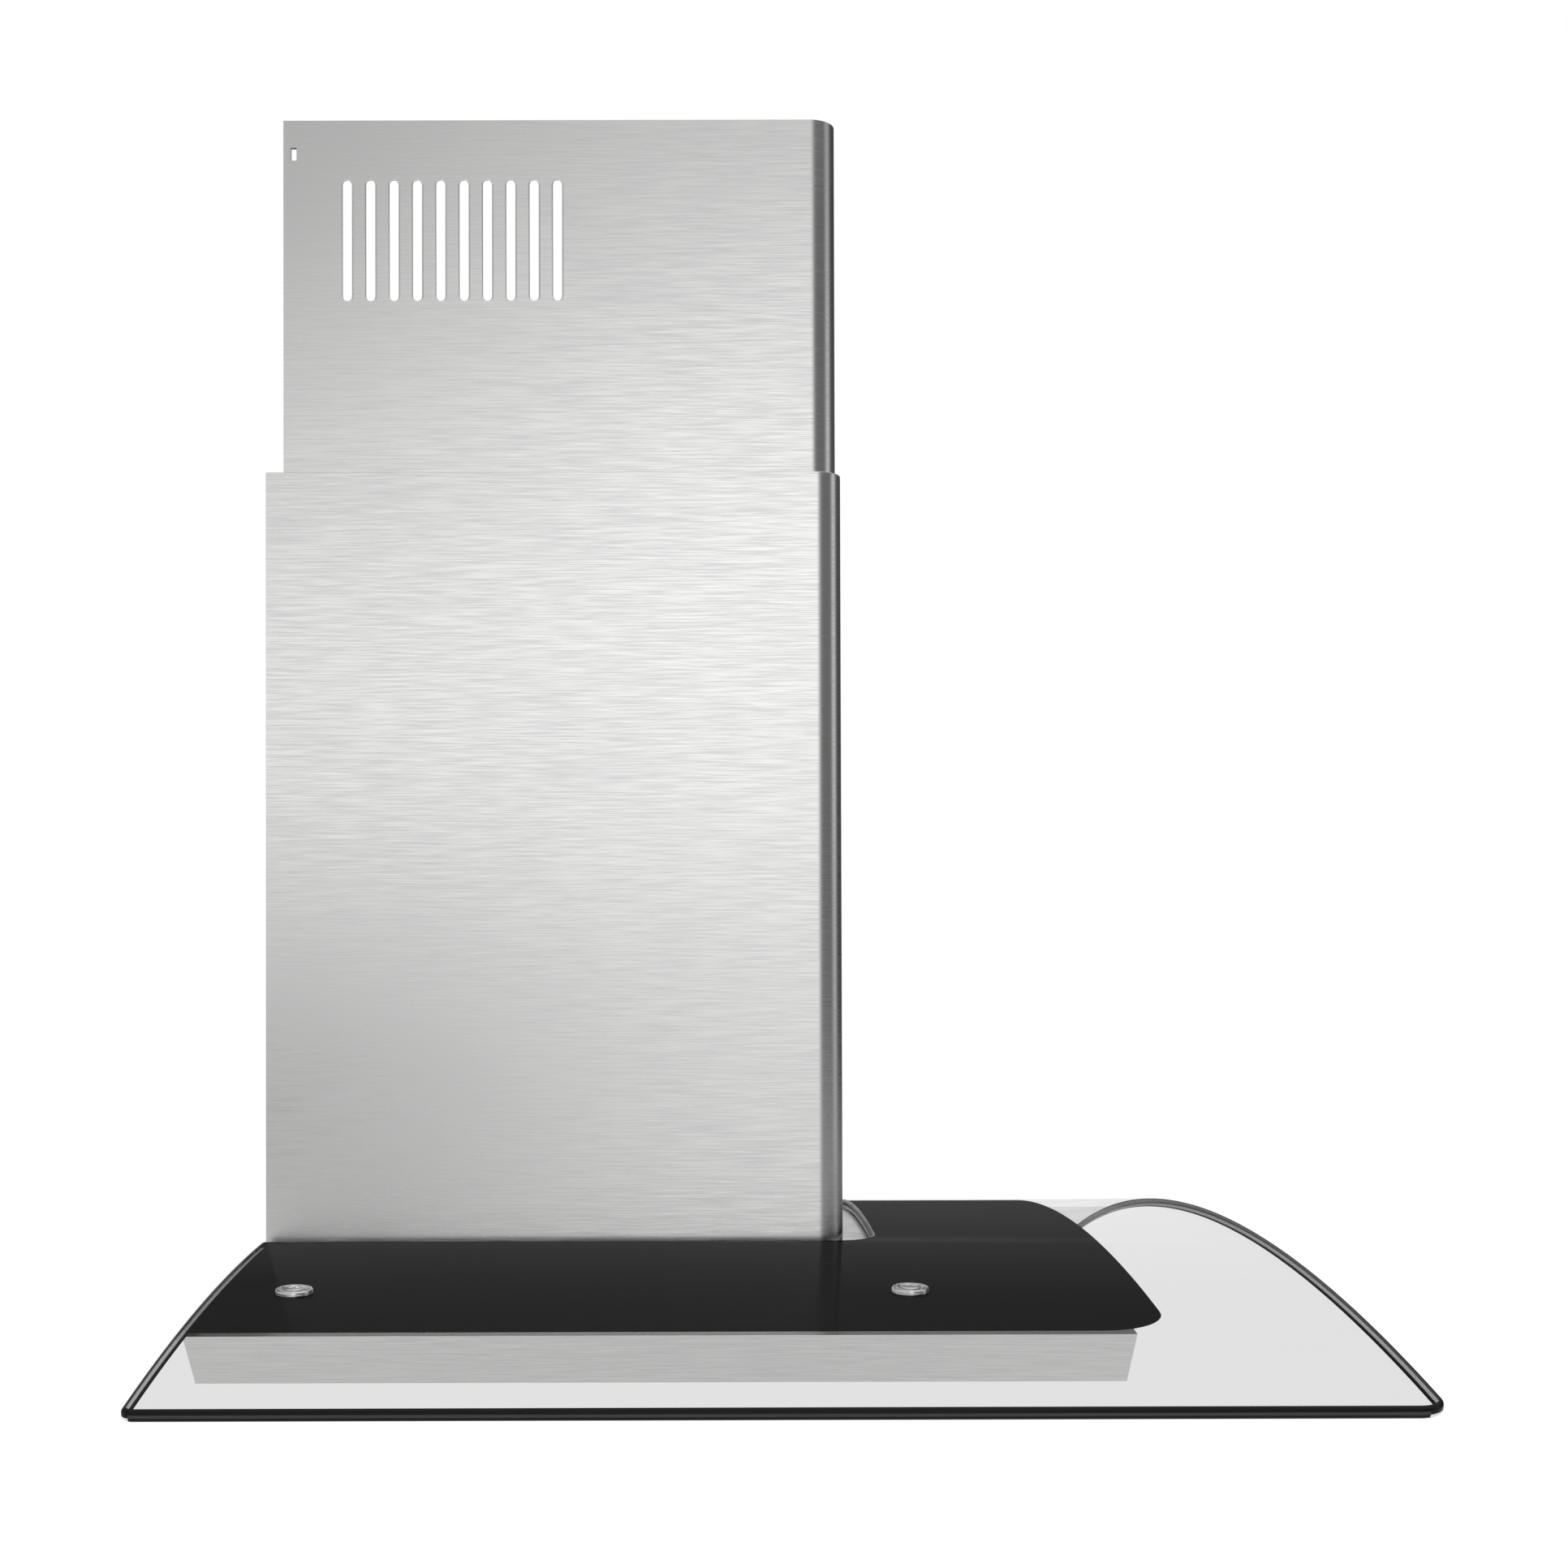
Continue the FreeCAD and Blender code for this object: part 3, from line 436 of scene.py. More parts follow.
# Sheet metal and mouldings: the part's own shape, with its sharp edges rounded a little
edgeRounds = {
    "hood_body": 0.45, "lower_chimney": 0.3, "upper_chimney": 0.3, "underside_panel": 0.3,
    "control_trim": 0.35, "filter_left_frame": 0.8, "filter_right_frame": 0.8,
    "filter_left_latch": 0.6, "filter_right_latch": 0.6, "lamp_left_trim": 0.35,
    "lamp_right_trim": 0.35, "lamp_left_holder": 0.6, "lamp_right_holder": 0.6,
    "blower_box": 0.5, "scroll_housing": 0.8, "motor": 1.6, "motor_bracket": 0.4,
    "duct_collar": 0.6, "junction_box": 0.5, "junction_cover": 0.4, "cable_gland": 0.8,
    "capacitor": 1.2, "capacitor_clip": 0.3, "wall_bracket": 0.5, "hanging_hooks": 0.5,
    "chimney_bracket": 0.4, "blower_feet": 0.4, "chimney_clips": 0.4, "slide_pads": 0.3,
    "board_spacers": 0.4, "damper_flap_left": 0.3, "damper_flap_right": 0.3,
    "glass_nuts": 0.5,
}
roundLooks = {"sharpAngle": 32.0, "segments": 2, "flatAngle": 0.6}


def mergedCopy(name):
    meshTool = bmesh.new()
    meshTool.from_mesh(cadNodes[name].data)
    bmesh.ops.remove_doubles(meshTool, verts=meshTool.verts, dist=0.002 * mm)
    bmesh.ops.dissolve_limit(meshTool, angle_limit=math.radians(roundLooks["flatAngle"]),
                             verts=meshTool.verts, edges=meshTool.edges)
    for face in meshTool.faces:
        face.smooth = True
    return meshTool


def roundEdges(piece, width, segments):
    modifier = piece.modifiers.new("roundEdges", "BEVEL")
    modifier.width = width
    modifier.segments = segments
    modifier.limit_method = "ANGLE"
    modifier.angle_limit = math.radians(roundLooks["sharpAngle"])
    modifier = piece.modifiers.new("flatNormals", "WEIGHTED_NORMAL")
    modifier.mode = "FACE_AREA"
    modifier.weight = 100


def makeRounded(name, width):
    material = panelSteel if name == "underside_panel" else materials[slotOf[name]]
    working = workingObject(name + "_work", mergedCopy(name), material)
    roundEdges(working, width * mm, roundLooks["segments"])
    addPiece(name + "_rounded", applied(name + "_rounded", working), bodyOf[name], slotOf[name],
             name)


for name, width in edgeRounds.items():
    makeRounded(name, width)
print("rounded pieces made:", len(edgeRounds))


# Push-buttons: a turned cap with a dished face in a chamfered rim
buttonLooks = {"sides": 48, "radius": 5.5, "flange": 2.0, "dish": 0.35, "rim": 0.5}


def makeButton(name):
    low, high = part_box(name)
    centreX = (low.x + high.x) / 2
    centreZ = (low.z + high.z) / 2
    flangeRadius = (high.x - low.x) / 2
    radius = buttonLooks["radius"] * mm
    flangeFront = high.y - buttonLooks["flange"] * mm
    front = low.y
    rim = buttonLooks["rim"] * mm
    dish = buttonLooks["dish"] * mm
    profile = [(0.0, high.y), (flangeRadius, high.y), (flangeRadius, flangeFront),
               (radius, flangeFront), (radius, front + rim),
               (radius - rim * 0.4, front + rim * 0.3), (radius - rim, front),
               (radius - rim * 1.8, front), (radius - rim * 2.4, front + dish * 0.5),
               (radius * 0.4, front + dish), (0.0, front + dish * 1.1)]
    mesh = turnedMesh(name + "_cap", profile, Vector((centreX, 0.0, centreZ)),
                      buttonLooks["sides"], materials["button_steel"])
    addPiece(name + "_cap", mesh, bodyOf[name], slotOf[name], name)


def turnedMesh(name, profile, centre, sides, material):
    # Turns (radius, y) stations about a line along Y; a zero radius closes the end
    meshTool = bmesh.new()
    rings = []
    for radius, along in profile:
        if radius == 0.0:
            rings.append([meshTool.verts.new((centre.x, along, centre.z))])
            continue
        rings.append([meshTool.verts.new((
            centre.x + radius * math.cos(math.tau * i / sides), along,
            centre.z + radius * math.sin(math.tau * i / sides))) for i in range(sides)])
    for first, second in zip(rings, rings[1:]):
        for i in range(sides):
            j = (i + 1) % sides
            corners = []
            for corner in (first[i % len(first)], first[j % len(first)],
                           second[j % len(second)], second[i % len(second)]):
                if corner not in corners:
                    corners.append(corner)
            meshTool.faces.new(corners)
    bmesh.ops.recalc_face_normals(meshTool, faces=meshTool.faces)
    for face in meshTool.faces:
        face.smooth = True
    for edge in meshTool.edges:
        edge.smooth = edge.calc_face_angle(0.0) < math.radians(38)
    mesh = bpy.data.meshes.new(name)
    meshTool.to_mesh(mesh)
    meshTool.free()
    mesh.materials.append(material)
    return mesh


for number in range(1, 6):
    makeButton(f"button_{number}")
print("push-buttons made")


# Glass canopy and the enamel in it: flat sheets with a rounded edge, laid on the arch by
# Geometry Nodes. The enamel sits a little higher in the glass than the part's own, because
# real glass lifts what lies under it.
canopyLow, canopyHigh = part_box("glass_canopy")
archRadius = 2154.0 * mm
archCentre = canopyHigh.z - archRadius
glassLooks = {
    "half": 456.55, "front": 499.55, "frontRound": 11.0, "rearRound": 5.0, "notchHalf": 172.0,
    "notchDeep": 304.0, "notchRound": 18.0, "notchCorner": 2.6, "thick": 5.0, "edgeRound": 1.9,
    "edgeSteps": 4, "cornerSteps": 10, "stations": 64, "rearGap": 0.05,
    # edge rings that take the painted light line and the painted highlight
    "paintedLightRings": (5, 6), "paintedHighlightRings": (4,), "endLean": 0.3,
}
enamelLooks = {
    **glassLooks, "half": 358.5, "front": 415.0, "frontRound": 28.0, "rearRound": 0.6,
    "notchHalf": 172.5, "notchDeep": 304.5, "notchRound": 18.5, "notchCorner": 0.6,
    "thick": 0.4, "edgeRound": 0.15, "edgeSteps": 1, "depth": 0.8, "rearGap": 4.0,
    "paintedLightRings": (), "paintedHighlightRings": (),
}


def sheetOutline(looks, inset):
    # Corners go anticlockwise: arc centre, radius, first angle, quarter turn left or right
    half, front, frontRound, rearRound, notchHalf, notchDeep, notchRound, small = [
        looks[word] * mm for word in ("half", "front", "frontRound", "rearRound", "notchHalf",
                                      "notchDeep", "notchRound", "notchCorner")]
    rear = canopyHigh.y - looks["rearGap"] * mm
    corners = [
        (half - frontRound, frontRound - front, frontRound, -90, 1),
        (half - rearRound, rear - rearRound, rearRound, 0, 1),
        (notchHalf + small, rear - small, small, 90, 1),
        (notchHalf - notchRound, notchRound - notchDeep, notchRound, 0, -1),
        (notchRound - notchHalf, notchRound - notchDeep, notchRound, -90, -1),
        (-notchHalf - small, rear - small, small, 0, 1),
        (rearRound - half, rear - rearRound, rearRound, 90, 1),
        (frontRound - half, frontRound - front, frontRound, 180, 1),
    ]
    points = []
    steps = looks["cornerSteps"]
    for x, y, radius, start, turn in corners:
        reach = radius - turn * inset
        for step in range(steps + 1):
            angle = math.radians(start + turn * 90 * step / steps)
            points.append((x + reach * math.cos(angle), y + reach * math.sin(angle)))
    return points


def flatSheet(looks):
    # The second material goes on the rounded edge, dark with painted shade. Along the front and
    # rear a bright line of painted light runs in it, where light comes through the glass, and on
    # the ends a paler middle that is a painted highlight.
    meshTool = bmesh.new()
    edgeRound = looks["edgeRound"] * mm
    thick = looks["thick"] * mm
    steps = looks["edgeSteps"]
    layers = []
    for step in range(steps + 1):
        angle = math.radians(90 * (1 - step / steps))
        layers.append((edgeRound * (1 - math.cos(angle)),
                       thick / 2 - edgeRound * (1 - math.sin(angle))))
    layers += [(inset, -height) for inset, height in reversed(layers)]
    rings = [[meshTool.verts.new((x, y, height)) for x, y in sheetOutline(looks, inset)]
             for inset, height in layers]
    count = len(rings[0])
    for number, (upper, lower) in enumerate(zip(rings, rings[1:])):
        for i in range(count):
            j = (i + 1) % count
            face = meshTool.faces.new((upper[i], lower[i], lower[j], upper[j]))
            along = (upper[j].co - upper[i].co).normalized()
            face.material_index = 1
            onEnd = abs(along.x) <= looks["endLean"]
            # the painted light line on the front and rear, the painted highlight on the ends
            if number in looks["paintedLightRings"] and not onEnd:
                face.material_index = 2
            elif number in looks["paintedHighlightRings"] and onEnd:
                face.material_index = 3
    meshTool.faces.new(rings[0])
    meshTool.faces.new(list(reversed(rings[-1])))
    half = looks["half"] * mm
    for station in range(1, looks["stations"]):
        x = half * (2 * station / looks["stations"] - 1)
        geometry = meshTool.verts[:] + meshTool.edges[:] + meshTool.faces[:]
        bmesh.ops.bisect_plane(meshTool, geom=geometry, plane_co=(x, 0, 0), plane_no=(1, 0, 0),
                               dist=0.001 * mm)
    for face in meshTool.faces:
        face.smooth = True
    for edge in meshTool.edges:
        edge.smooth = edge.calc_face_angle(0.0) < math.radians(40)
    return meshTool


def archTree():
    # Moves a flat sheet onto a cylinder that lies along Y
    tree, graph, source = newGeometryTree("layOnArch", [
        ("Arch Radius", "Float"), ("Arch Centre", "Float"), ("Half Thickness", "Float")])
    place = graph.node("GeometryNodeInputPosition")
    parts = graph.node("ShaderNodeSeparateXYZ", None, {"Vector": place})
    middle = source.output("Arch Radius") - source.output("Half Thickness")
    lean = parts.maths("ARCSINE", parts / middle, 0.0)
    reach = middle + parts.output("Z")
    x = reach * lean.maths("SINE", lean, 0.0)
    z = reach * lean.maths("COSINE", lean, 0.0) + source.output("Arch Centre")
    moved = graph.node("ShaderNodeCombineXYZ", None, {"X": x, "Y": parts.output("Y"), "Z": z})
    bent = graph.node("GeometryNodeSetPosition", None,
                      {"Geometry": source.output("Geometry"), "Position": moved})
    closeTree(graph, bent, None)
    return tree


layOnArch = archTree()


def makeSheet(name, node, looks, depth, *sheetMaterials):
    working = workingObject(name + "_work", flatSheet(looks), *sheetMaterials)
    setInputs(working, layOnArch, {"Arch Radius": archRadius - depth * mm,
                                   "Arch Centre": archCentre,
                                   "Half Thickness": looks["thick"] * mm / 2})
    return addPiece(name, applied(name, working), bodyOf[node], slotOf[node], node)


makeSheet("glass_sheet", "glass_canopy", glassLooks, 0.0, materials["glass_clear"], *paintedEdgeShades)
enamel = makeSheet("enamel_print", "black_enamel", enamelLooks, enamelLooks["depth"],
                   materials["enamel_black"], materials["enamel_black"])
enamel.visible_glossy = False    # keeps the steel above it free of a black band
print("glass canopy made")


# Screws: cross-recessed heads set on points, square to the face they hold
screwLooks = {"headRadius": 4.7, "headHigh": 0.9, "crossLong": 3.0, "crossWide": 0.6,
              "crossDeep": 0.7, "sides": 40, "seatHigh": 1.9}


def screwHead():
    # A low head with a cross recess, standing on z = 0 and 1 unit in radius
    meshTool = bmesh.new()
    high = screwLooks["headHigh"] / screwLooks["headRadius"]
    sides = screwLooks["sides"]
    crossLong = screwLooks["crossLong"] / screwLooks["headRadius"]
    crossWide = screwLooks["crossWide"] / screwLooks["headRadius"]
    deep = screwLooks["crossDeep"] / screwLooks["headRadius"]
    profile = [(1.0, 0.0), (1.0, high * 0.35), (0.97, high * 0.5), (0.88, high * 0.72),
               (0.72, high * 0.9), (0.62, high * 0.96)]
    rings = [[meshTool.verts.new((r * math.cos(math.tau * i / sides),
                                  r * math.sin(math.tau * i / sides), z)) for i in range(sides)]
             for r, z in profile]
    for lower, upper in zip(rings, rings[1:]):
        for i in range(sides):
            j = (i + 1) % sides
            meshTool.faces.new((lower[i], lower[j], upper[j], upper[i]))
    cross = []
    for quarter in range(4):
        angle = math.tau * quarter / 4
        for along, across in ((crossWide, -crossWide), (crossLong, -crossWide),
                              (crossLong, crossWide)):
            x = along * math.cos(angle) - across * math.sin(angle)
            y = along * math.sin(angle) + across * math.cos(angle)
            cross.append((x, y))
    top = [meshTool.verts.new((x, y, high)) for x, y in cross]
    floor = [meshTool.verts.new((x * 0.62, y * 0.62, high - deep)) for x, y in cross]
    for i in range(len(cross)):
        j = (i + 1) % len(cross)
        meshTool.faces.new((top[i], top[j], floor[j], floor[i]))
    meshTool.faces.new(list(reversed(floor)))
    bridgeFan(meshTool, rings[-1], top)
    meshTool.faces.new(list(reversed(rings[0])))
    bmesh.ops.recalc_face_normals(meshTool, faces=meshTool.faces)
    for face in meshTool.faces:
        face.smooth = True
    for edge in meshTool.edges:
        edge.smooth = edge.calc_face_angle(0.0) < math.radians(35)
    return meshTool


def bridgeFan(meshTool, outer, inner):
    # Joins a ring to a smaller one with another count, walking both by angle
    def angleOf(vertex):
        return math.atan2(vertex.co.y, vertex.co.x) % math.tau

    outer = sorted(outer, key=angleOf)
    inner = sorted(inner, key=angleOf)
    i = 0
    j = 0
    while i < len(outer) or j < len(inner):
        first = outer[i % len(outer)]
        second = inner[j % len(inner)]
        nextOuter = angleOf(outer[i]) if i < len(outer) else math.inf
        nextInner = angleOf(inner[j]) if j < len(inner) else math.inf
        if i < len(outer) and nextOuter <= nextInner:
            meshTool.faces.new((first, outer[(i + 1) % len(outer)], second))
            i += 1
        else:
            meshTool.faces.new((first, inner[(j + 1) % len(inner)], second))
            j += 1


def pointsObject(name, places):
    # A mesh of loose points, each with the direction its screw faces
    mesh = bpy.data.meshes.new(name)
    mesh.from_pydata([place for place, _ in places], [], [])
    facing = mesh.attributes.new("facing", "FLOAT_VECTOR", "POINT")
    for item, (_, direction) in zip(facing.data, places):
        item.vector = direction
    piece = bpy.data.objects.new(name, mesh)
    bpy.context.scene.collection.objects.link(piece)
    return piece


def screwTree():
    tree, graph, source = newGeometryTree("screwsOnPoints", [
        ("Head", "Object"), ("Head Radius", "Float"), ("Turn Seed", "Int"),
        ("Finish", "Material")])
    facing = graph.node("GeometryNodeInputNamedAttribute", {"data_type": "FLOAT_VECTOR"},
                        {"Name": "facing"})
    turned = graph.node("FunctionNodeAlignRotationToVector", {"axis": "Z"}, {"Vector": facing})
    turn = graph.node("FunctionNodeRandomValue", {"data_type": "FLOAT"},
                      {2: 0.0, 3: math.tau, "Seed": source.output("Turn Seed")})
    turn = turn.number()
    spin = graph.node("ShaderNodeCombineXYZ", None, {"Z": turn})
    turned = graph.node("FunctionNodeRotateRotation", {"rotation_space": "LOCAL"},
                        {"Rotation": turned, "Rotate By": spin})
    head = graph.node("GeometryNodeObjectInfo", None, {"Object": source.output("Head")})
    placed = graph.node("GeometryNodeInstanceOnPoints", None,
                        {"Points": source.output("Geometry"), "Instance": head.output("Geometry"),
                         "Rotation": turned, "Scale": source.output("Head Radius")})
    closeTree(graph, placed, source.output("Finish"))
    return tree


screwHeadObject = workingObject("screwHead_work", screwHead(), materials["steel_bright"])
screwsOnPoints = screwTree()


def makeScrews(name, places, headRadius, body, slotName, seed, *replaced):
    working = pointsObject(name + "_points", places)
    setInputs(working, screwsOnPoints, {"Head": screwHeadObject, "Head Radius": headRadius * mm,
                                        "Turn Seed": seed, "Finish": materials[slotName]})
    addPiece(name, applied(name, working), body, slotName, *replaced)


def onArch(x, y, rise):
    # A place above the glass's upper face, and the arch's outward direction there
    lean = math.asin(x / archRadius)
    out = Vector((math.sin(lean), 0.0, math.cos(lean)))
    return Vector((0.0, y, archCentre)) + out * (archRadius + rise), out


glassScrews = {"lean": 7.91, "rows": (-38.0, -311.0)}    # degrees round the arch, and places in y
glassScrewSide = archRadius * math.sin(math.radians(glassScrews["lean"]))
glassCorners = [(side * glassScrewSide, row * mm) for side in (-1, 1)
                for row in glassScrews["rows"]]
seatHigh = screwLooks["seatHigh"] * mm
makeScrews("glass_screw_heads", [onArch(x, y, seatHigh) for x, y in glassCorners],
           screwLooks["headRadius"], bodyOf["glass_screws"], "steel_bright", 3, "glass_screws")


# Cup washers: turned rings under the heads of the glass screws
cupLooks = {"sides": 56, "rings": [(8.3, 0.0), (8.3, 1.2), (8.1, 1.75), (7.7, 2.05), (7.25, 2.1),
                                   (7.05, 1.8), (6.75, 1.8), (6.55, 2.25), (6.0, 2.35), (5.8, 2.3),
                                   (5.6, 2.0), (5.45, 1.1), (4.7, 1.1), (4.6, 1.9), (2.6, 1.9),
                                   (2.6, 0.0)]}


def cupWashers():
    meshTool = bmesh.new()
    sides = cupLooks["sides"]
    for x, y in glassCorners:
        foot, out = onArch(x, y, 0.0)
        across = Vector((0.0, 1.0, 0.0))
        along = across.cross(out)
        rings = []
        for radius, rise in cupLooks["rings"]:
            ring = []
            for i in range(sides):
                angle = math.tau * i / sides
                spoke = along * math.cos(angle) + across * math.sin(angle)
                ring.append(meshTool.verts.new(foot + out * rise * mm + spoke * radius * mm))
            rings.append(ring)
        for lower, upper in zip(rings, rings[1:] + rings[:1]):
            for i in range(sides):
                j = (i + 1) % sides
                meshTool.faces.new((lower[i], lower[j], upper[j], upper[i]))
    bmesh.ops.recalc_face_normals(meshTool, faces=meshTool.faces)
    for face in meshTool.faces:
        face.smooth = True
    for edge in meshTool.edges:
        edge.smooth = edge.calc_face_angle(0.0) < math.radians(40)
    mesh = bpy.data.meshes.new("cup_washers")
    meshTool.to_mesh(mesh)
    meshTool.free()
    mesh.materials.append(materials["steel_bright"])
    return mesh


addPiece("cup_washers", cupWashers(), bodyOf["glass_washers"], "steel_bright", "glass_washers")
print("glass screws made")


# Small screws that hold the inner sheets
boxLow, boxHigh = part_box("blower_box")
coverLow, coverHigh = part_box("junction_cover")
seatLow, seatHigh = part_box("duct_collar")
sheetScrewLooks = {"radius": 3.0, "inset": 9.0, "rows": 4, "seatRadius": 80.0, "seatCount": 6,
                   "seatThick": 2.0}


def sheetScrewPlaces():
    inset = sheetScrewLooks["inset"] * mm
    places = []
    for x, direction in ((boxLow.x, -1), (boxHigh.x, 1)):
        for y in (boxLow.y + inset, boxHigh.y - inset):
            for row in range(sheetScrewLooks["rows"]):
                z = boxLow.z + 3 * inset + (boxHigh.z - boxLow.z - 4 * inset) * row / (
                    sheetScrewLooks["rows"] - 1)
                places.append((Vector((x, y, z)), Vector((direction, 0, 0))))
    for y in (coverLow.y + inset, coverHigh.y - inset):
        for z in (coverLow.z + inset, coverHigh.z - inset):
            places.append((Vector((coverHigh.x, y, z)), Vector((1, 0, 0))))
    centreY = (seatLow.y + seatHigh.y) / 2
    for number in range(sheetScrewLooks["seatCount"]):
        angle = math.tau * (number + 0.5) / sheetScrewLooks["seatCount"]
        reach = sheetScrewLooks["seatRadius"] * mm
        places.append((Vector((reach * math.cos(angle), centreY + reach * math.sin(angle),
                               seatLow.z + sheetScrewLooks["seatThick"] * mm)), Vector((0, 0, 1))))
    return places


makeScrews("sheet_screws", sheetScrewPlaces(), sheetScrewLooks["radius"], "hood", "steel_zinc", 7)
print("sheet screws made")


# Grease filter mesh: zigzag strands of expanded sheet in three layers, over the inside of the hood
filterLooks = {"cellLong": 7.0, "cellHigh": 3.4, "strand": 0.8, "layers": 3, "layerGap": 1.5,
               "shiftLong": 0.5, "shiftHigh": 0.35}


def expandedTree():
    # Zigzag strands side by side; each layer is a copy shifted by half a cell
    tree, graph, source = newGeometryTree("expandedSheet", [
        ("Long", "Float"), ("Cells", "Int"), ("Rows", "Int"), ("Row Pitch", "Float"),
        ("Strand", "Float"), ("Layers", "Int"), ("Layer Step", "Vector"),
        ("Finish", "Material")])
    line = graph.node("GeometryNodeMeshLine", {"mode": "OFFSET"},
                      {"Count": source.output("Cells"),
                       "Offset": graph.node("ShaderNodeCombineXYZ", None,
                                            {"X": source.output("Long")})})
    odd = graph.node("ShaderNodeMath", {"operation": "MODULO"},
                     {0: graph.node("GeometryNodeInputIndex"), 1: 2.0})
    swing = (odd - 0.5) * source.output("Row Pitch") * 0.94
    zigzag = graph.node("GeometryNodeSetPosition", None,
                        {"Geometry": line,
                         "Offset": graph.node("ShaderNodeCombineXYZ", None, {"Y": swing})})
    path = graph.node("GeometryNodeMeshToCurve", None, {"Mesh": zigzag})
    profile = graph.node("GeometryNodeCurvePrimitiveQuadrilateral", {"mode": "RECTANGLE"},
                         {"Width": source.output("Strand"),
                          "Height": source.output("Strand") * 0.6})
    strand = graph.node("GeometryNodeCurveToMesh", None,
                        {"Curve": path, "Profile Curve": profile, "Fill Caps": True})
    rows = graph.node("GeometryNodeMeshLine", {"mode": "OFFSET"},
                      {"Count": source.output("Rows"),
                       "Offset": graph.node("ShaderNodeCombineXYZ", None,
                                            {"Y": source.output("Row Pitch")})})
    flip = graph.node("ShaderNodeMath", {"operation": "MODULO"},
                      {0: graph.node("GeometryNodeInputIndex"), 1: 2.0})
    half = graph.node("ShaderNodeCombineXYZ", None,
                      {"X": flip * source.output("Long")})
    rows = graph.node("GeometryNodeSetPosition", None, {"Geometry": rows, "Offset": half})
    sheet = graph.node("GeometryNodeInstanceOnPoints", None, {"Points": rows, "Instance": strand})
    layers = graph.node("GeometryNodeMeshLine", {"mode": "OFFSET"},
                        {"Count": source.output("Layers"), "Offset": source.output("Layer Step")})
    whole = graph.node("GeometryNodeInstanceOnPoints", None,
                       {"Points": layers, "Instance": sheet})
    closeTree(graph, whole, source.output("Finish"))
    return tree


expandedSheet = expandedTree()


def makeFilterMesh(side):
    name = f"filter_{side}_mesh"
    low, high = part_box(name)
    cell = filterLooks["cellLong"] * mm / 2
    pitch = filterLooks["cellHigh"] * mm
    layers = filterLooks["layers"]
    spare = filterLooks["strand"] * mm
    cells = int((high.x - low.x - 2 * spare) / cell) - 1
    rows = int((high.y - low.y - 2 * spare) / pitch)
    working = pointsObject(name + "_work", [(Vector(), Vector((0, 0, 1)))])
    setInputs(working, expandedSheet, {
        "Long": cell, "Cells": cells, "Rows": rows, "Row Pitch": pitch,
        "Strand": filterLooks["strand"] * mm, "Layers": layers,
        "Layer Step": (cell * filterLooks["shiftLong"], pitch * filterLooks["shiftHigh"],
                       filterLooks["layerGap"] * mm),
        "Finish": materials["aluminium_mesh"]})
    mesh = applied(name + "_strands", working)
    start = Vector((low.x + spare, low.y + spare + pitch / 2, low.z + spare))
    for vertex in mesh.vertices:
        vertex.co += start
    addPiece(name + "_strands", mesh, bodyOf[name], "aluminium_mesh", name)


for side in ("left", "right"):
    makeFilterMesh(side)
print("filter meshes made")


# Vent rims: the pressed lip round each slot in the sides of the upper cover
ventLooks = {"count": 10, "pitch": 11.8, "wide": 5.5, "high": 62.0, "drop": 30.0, "first": 32.3,
             "lip": 0.9, "sink": 0.35, "steps": 8}


def ventTree():
    tree, graph, source = newGeometryTree("ventLips", [
        ("Vents", "Int"), ("Pitch", "Float"), ("Lip", "Float"), ("Finish", "Material")])
    path = graph.node("GeometryNodeMeshToCurve", None, {"Mesh": source.output("Geometry")})
    profile = graph.node("GeometryNodeCurvePrimitiveCircle", {"mode": "RADIUS"},
                         {"Resolution": 8, "Radius": source.output("Lip")})
    lip = graph.node("GeometryNodeCurveToMesh", None, {"Curve": path, "Profile Curve": profile})
    row = graph.node("GeometryNodeMeshLine", {"mode": "OFFSET"},
                     {"Count": source.output("Vents"),
                      "Offset": graph.node("ShaderNodeCombineXYZ", None,
                                           {"Y": 0.0 - source.output("Pitch")})})
    lips = graph.node("GeometryNodeInstanceOnPoints", None, {"Points": row, "Instance": lip})
    lips = graph.node("GeometryNodeSetShadeSmooth", None, {"Geometry": lips})
    closeTree(graph, lips, source.output("Finish"))
    return tree


def ventOutline(x, y, z):
    # A slot with round ends in the plane x
    radius = ventLooks["wide"] * mm / 2
    straight = ventLooks["high"] * mm / 2 - radius
    steps = ventLooks["steps"]
    points = []
    for end in (1, -1):
        for step in range(steps + 1):
            angle = math.pi * step / steps + (0 if end > 0 else math.pi)
            points.append((x, y + radius * math.cos(angle),
                           z + end * straight + radius * math.sin(angle)))
    return points


def makeVentLips():
    coverBoxLow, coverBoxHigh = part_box("upper_chimney")
    firstY = coverBoxHigh.y - ventLooks["first"] * mm
    middleZ = coverBoxHigh.z - (ventLooks["drop"] + ventLooks["high"] / 2) * mm
    sink = ventLooks["sink"] * mm
    meshTool = bmesh.new()
    for x in (coverBoxLow.x + sink, coverBoxHigh.x - sink):
        ring = [meshTool.verts.new(point) for point in ventOutline(x, firstY, middleZ)]
        for first, second in zip(ring, ring[1:] + ring[:1]):
            meshTool.edges.new((first, second))
    working = workingObject("vent_lips_work", meshTool)
    setInputs(working, ventTree(), {"Vents": ventLooks["count"], "Pitch": ventLooks["pitch"] * mm,
                                    "Lip": ventLooks["lip"] * mm / 2,
                                    "Finish": materials["steel_brushed"]})
    addPiece("vent_lips", applied("vent_lips", working), bodyOf["upper_chimney"], "steel_brushed")


makeVentLips()
print("vent lips made")
bpy.data.objects.remove(screwHeadObject)


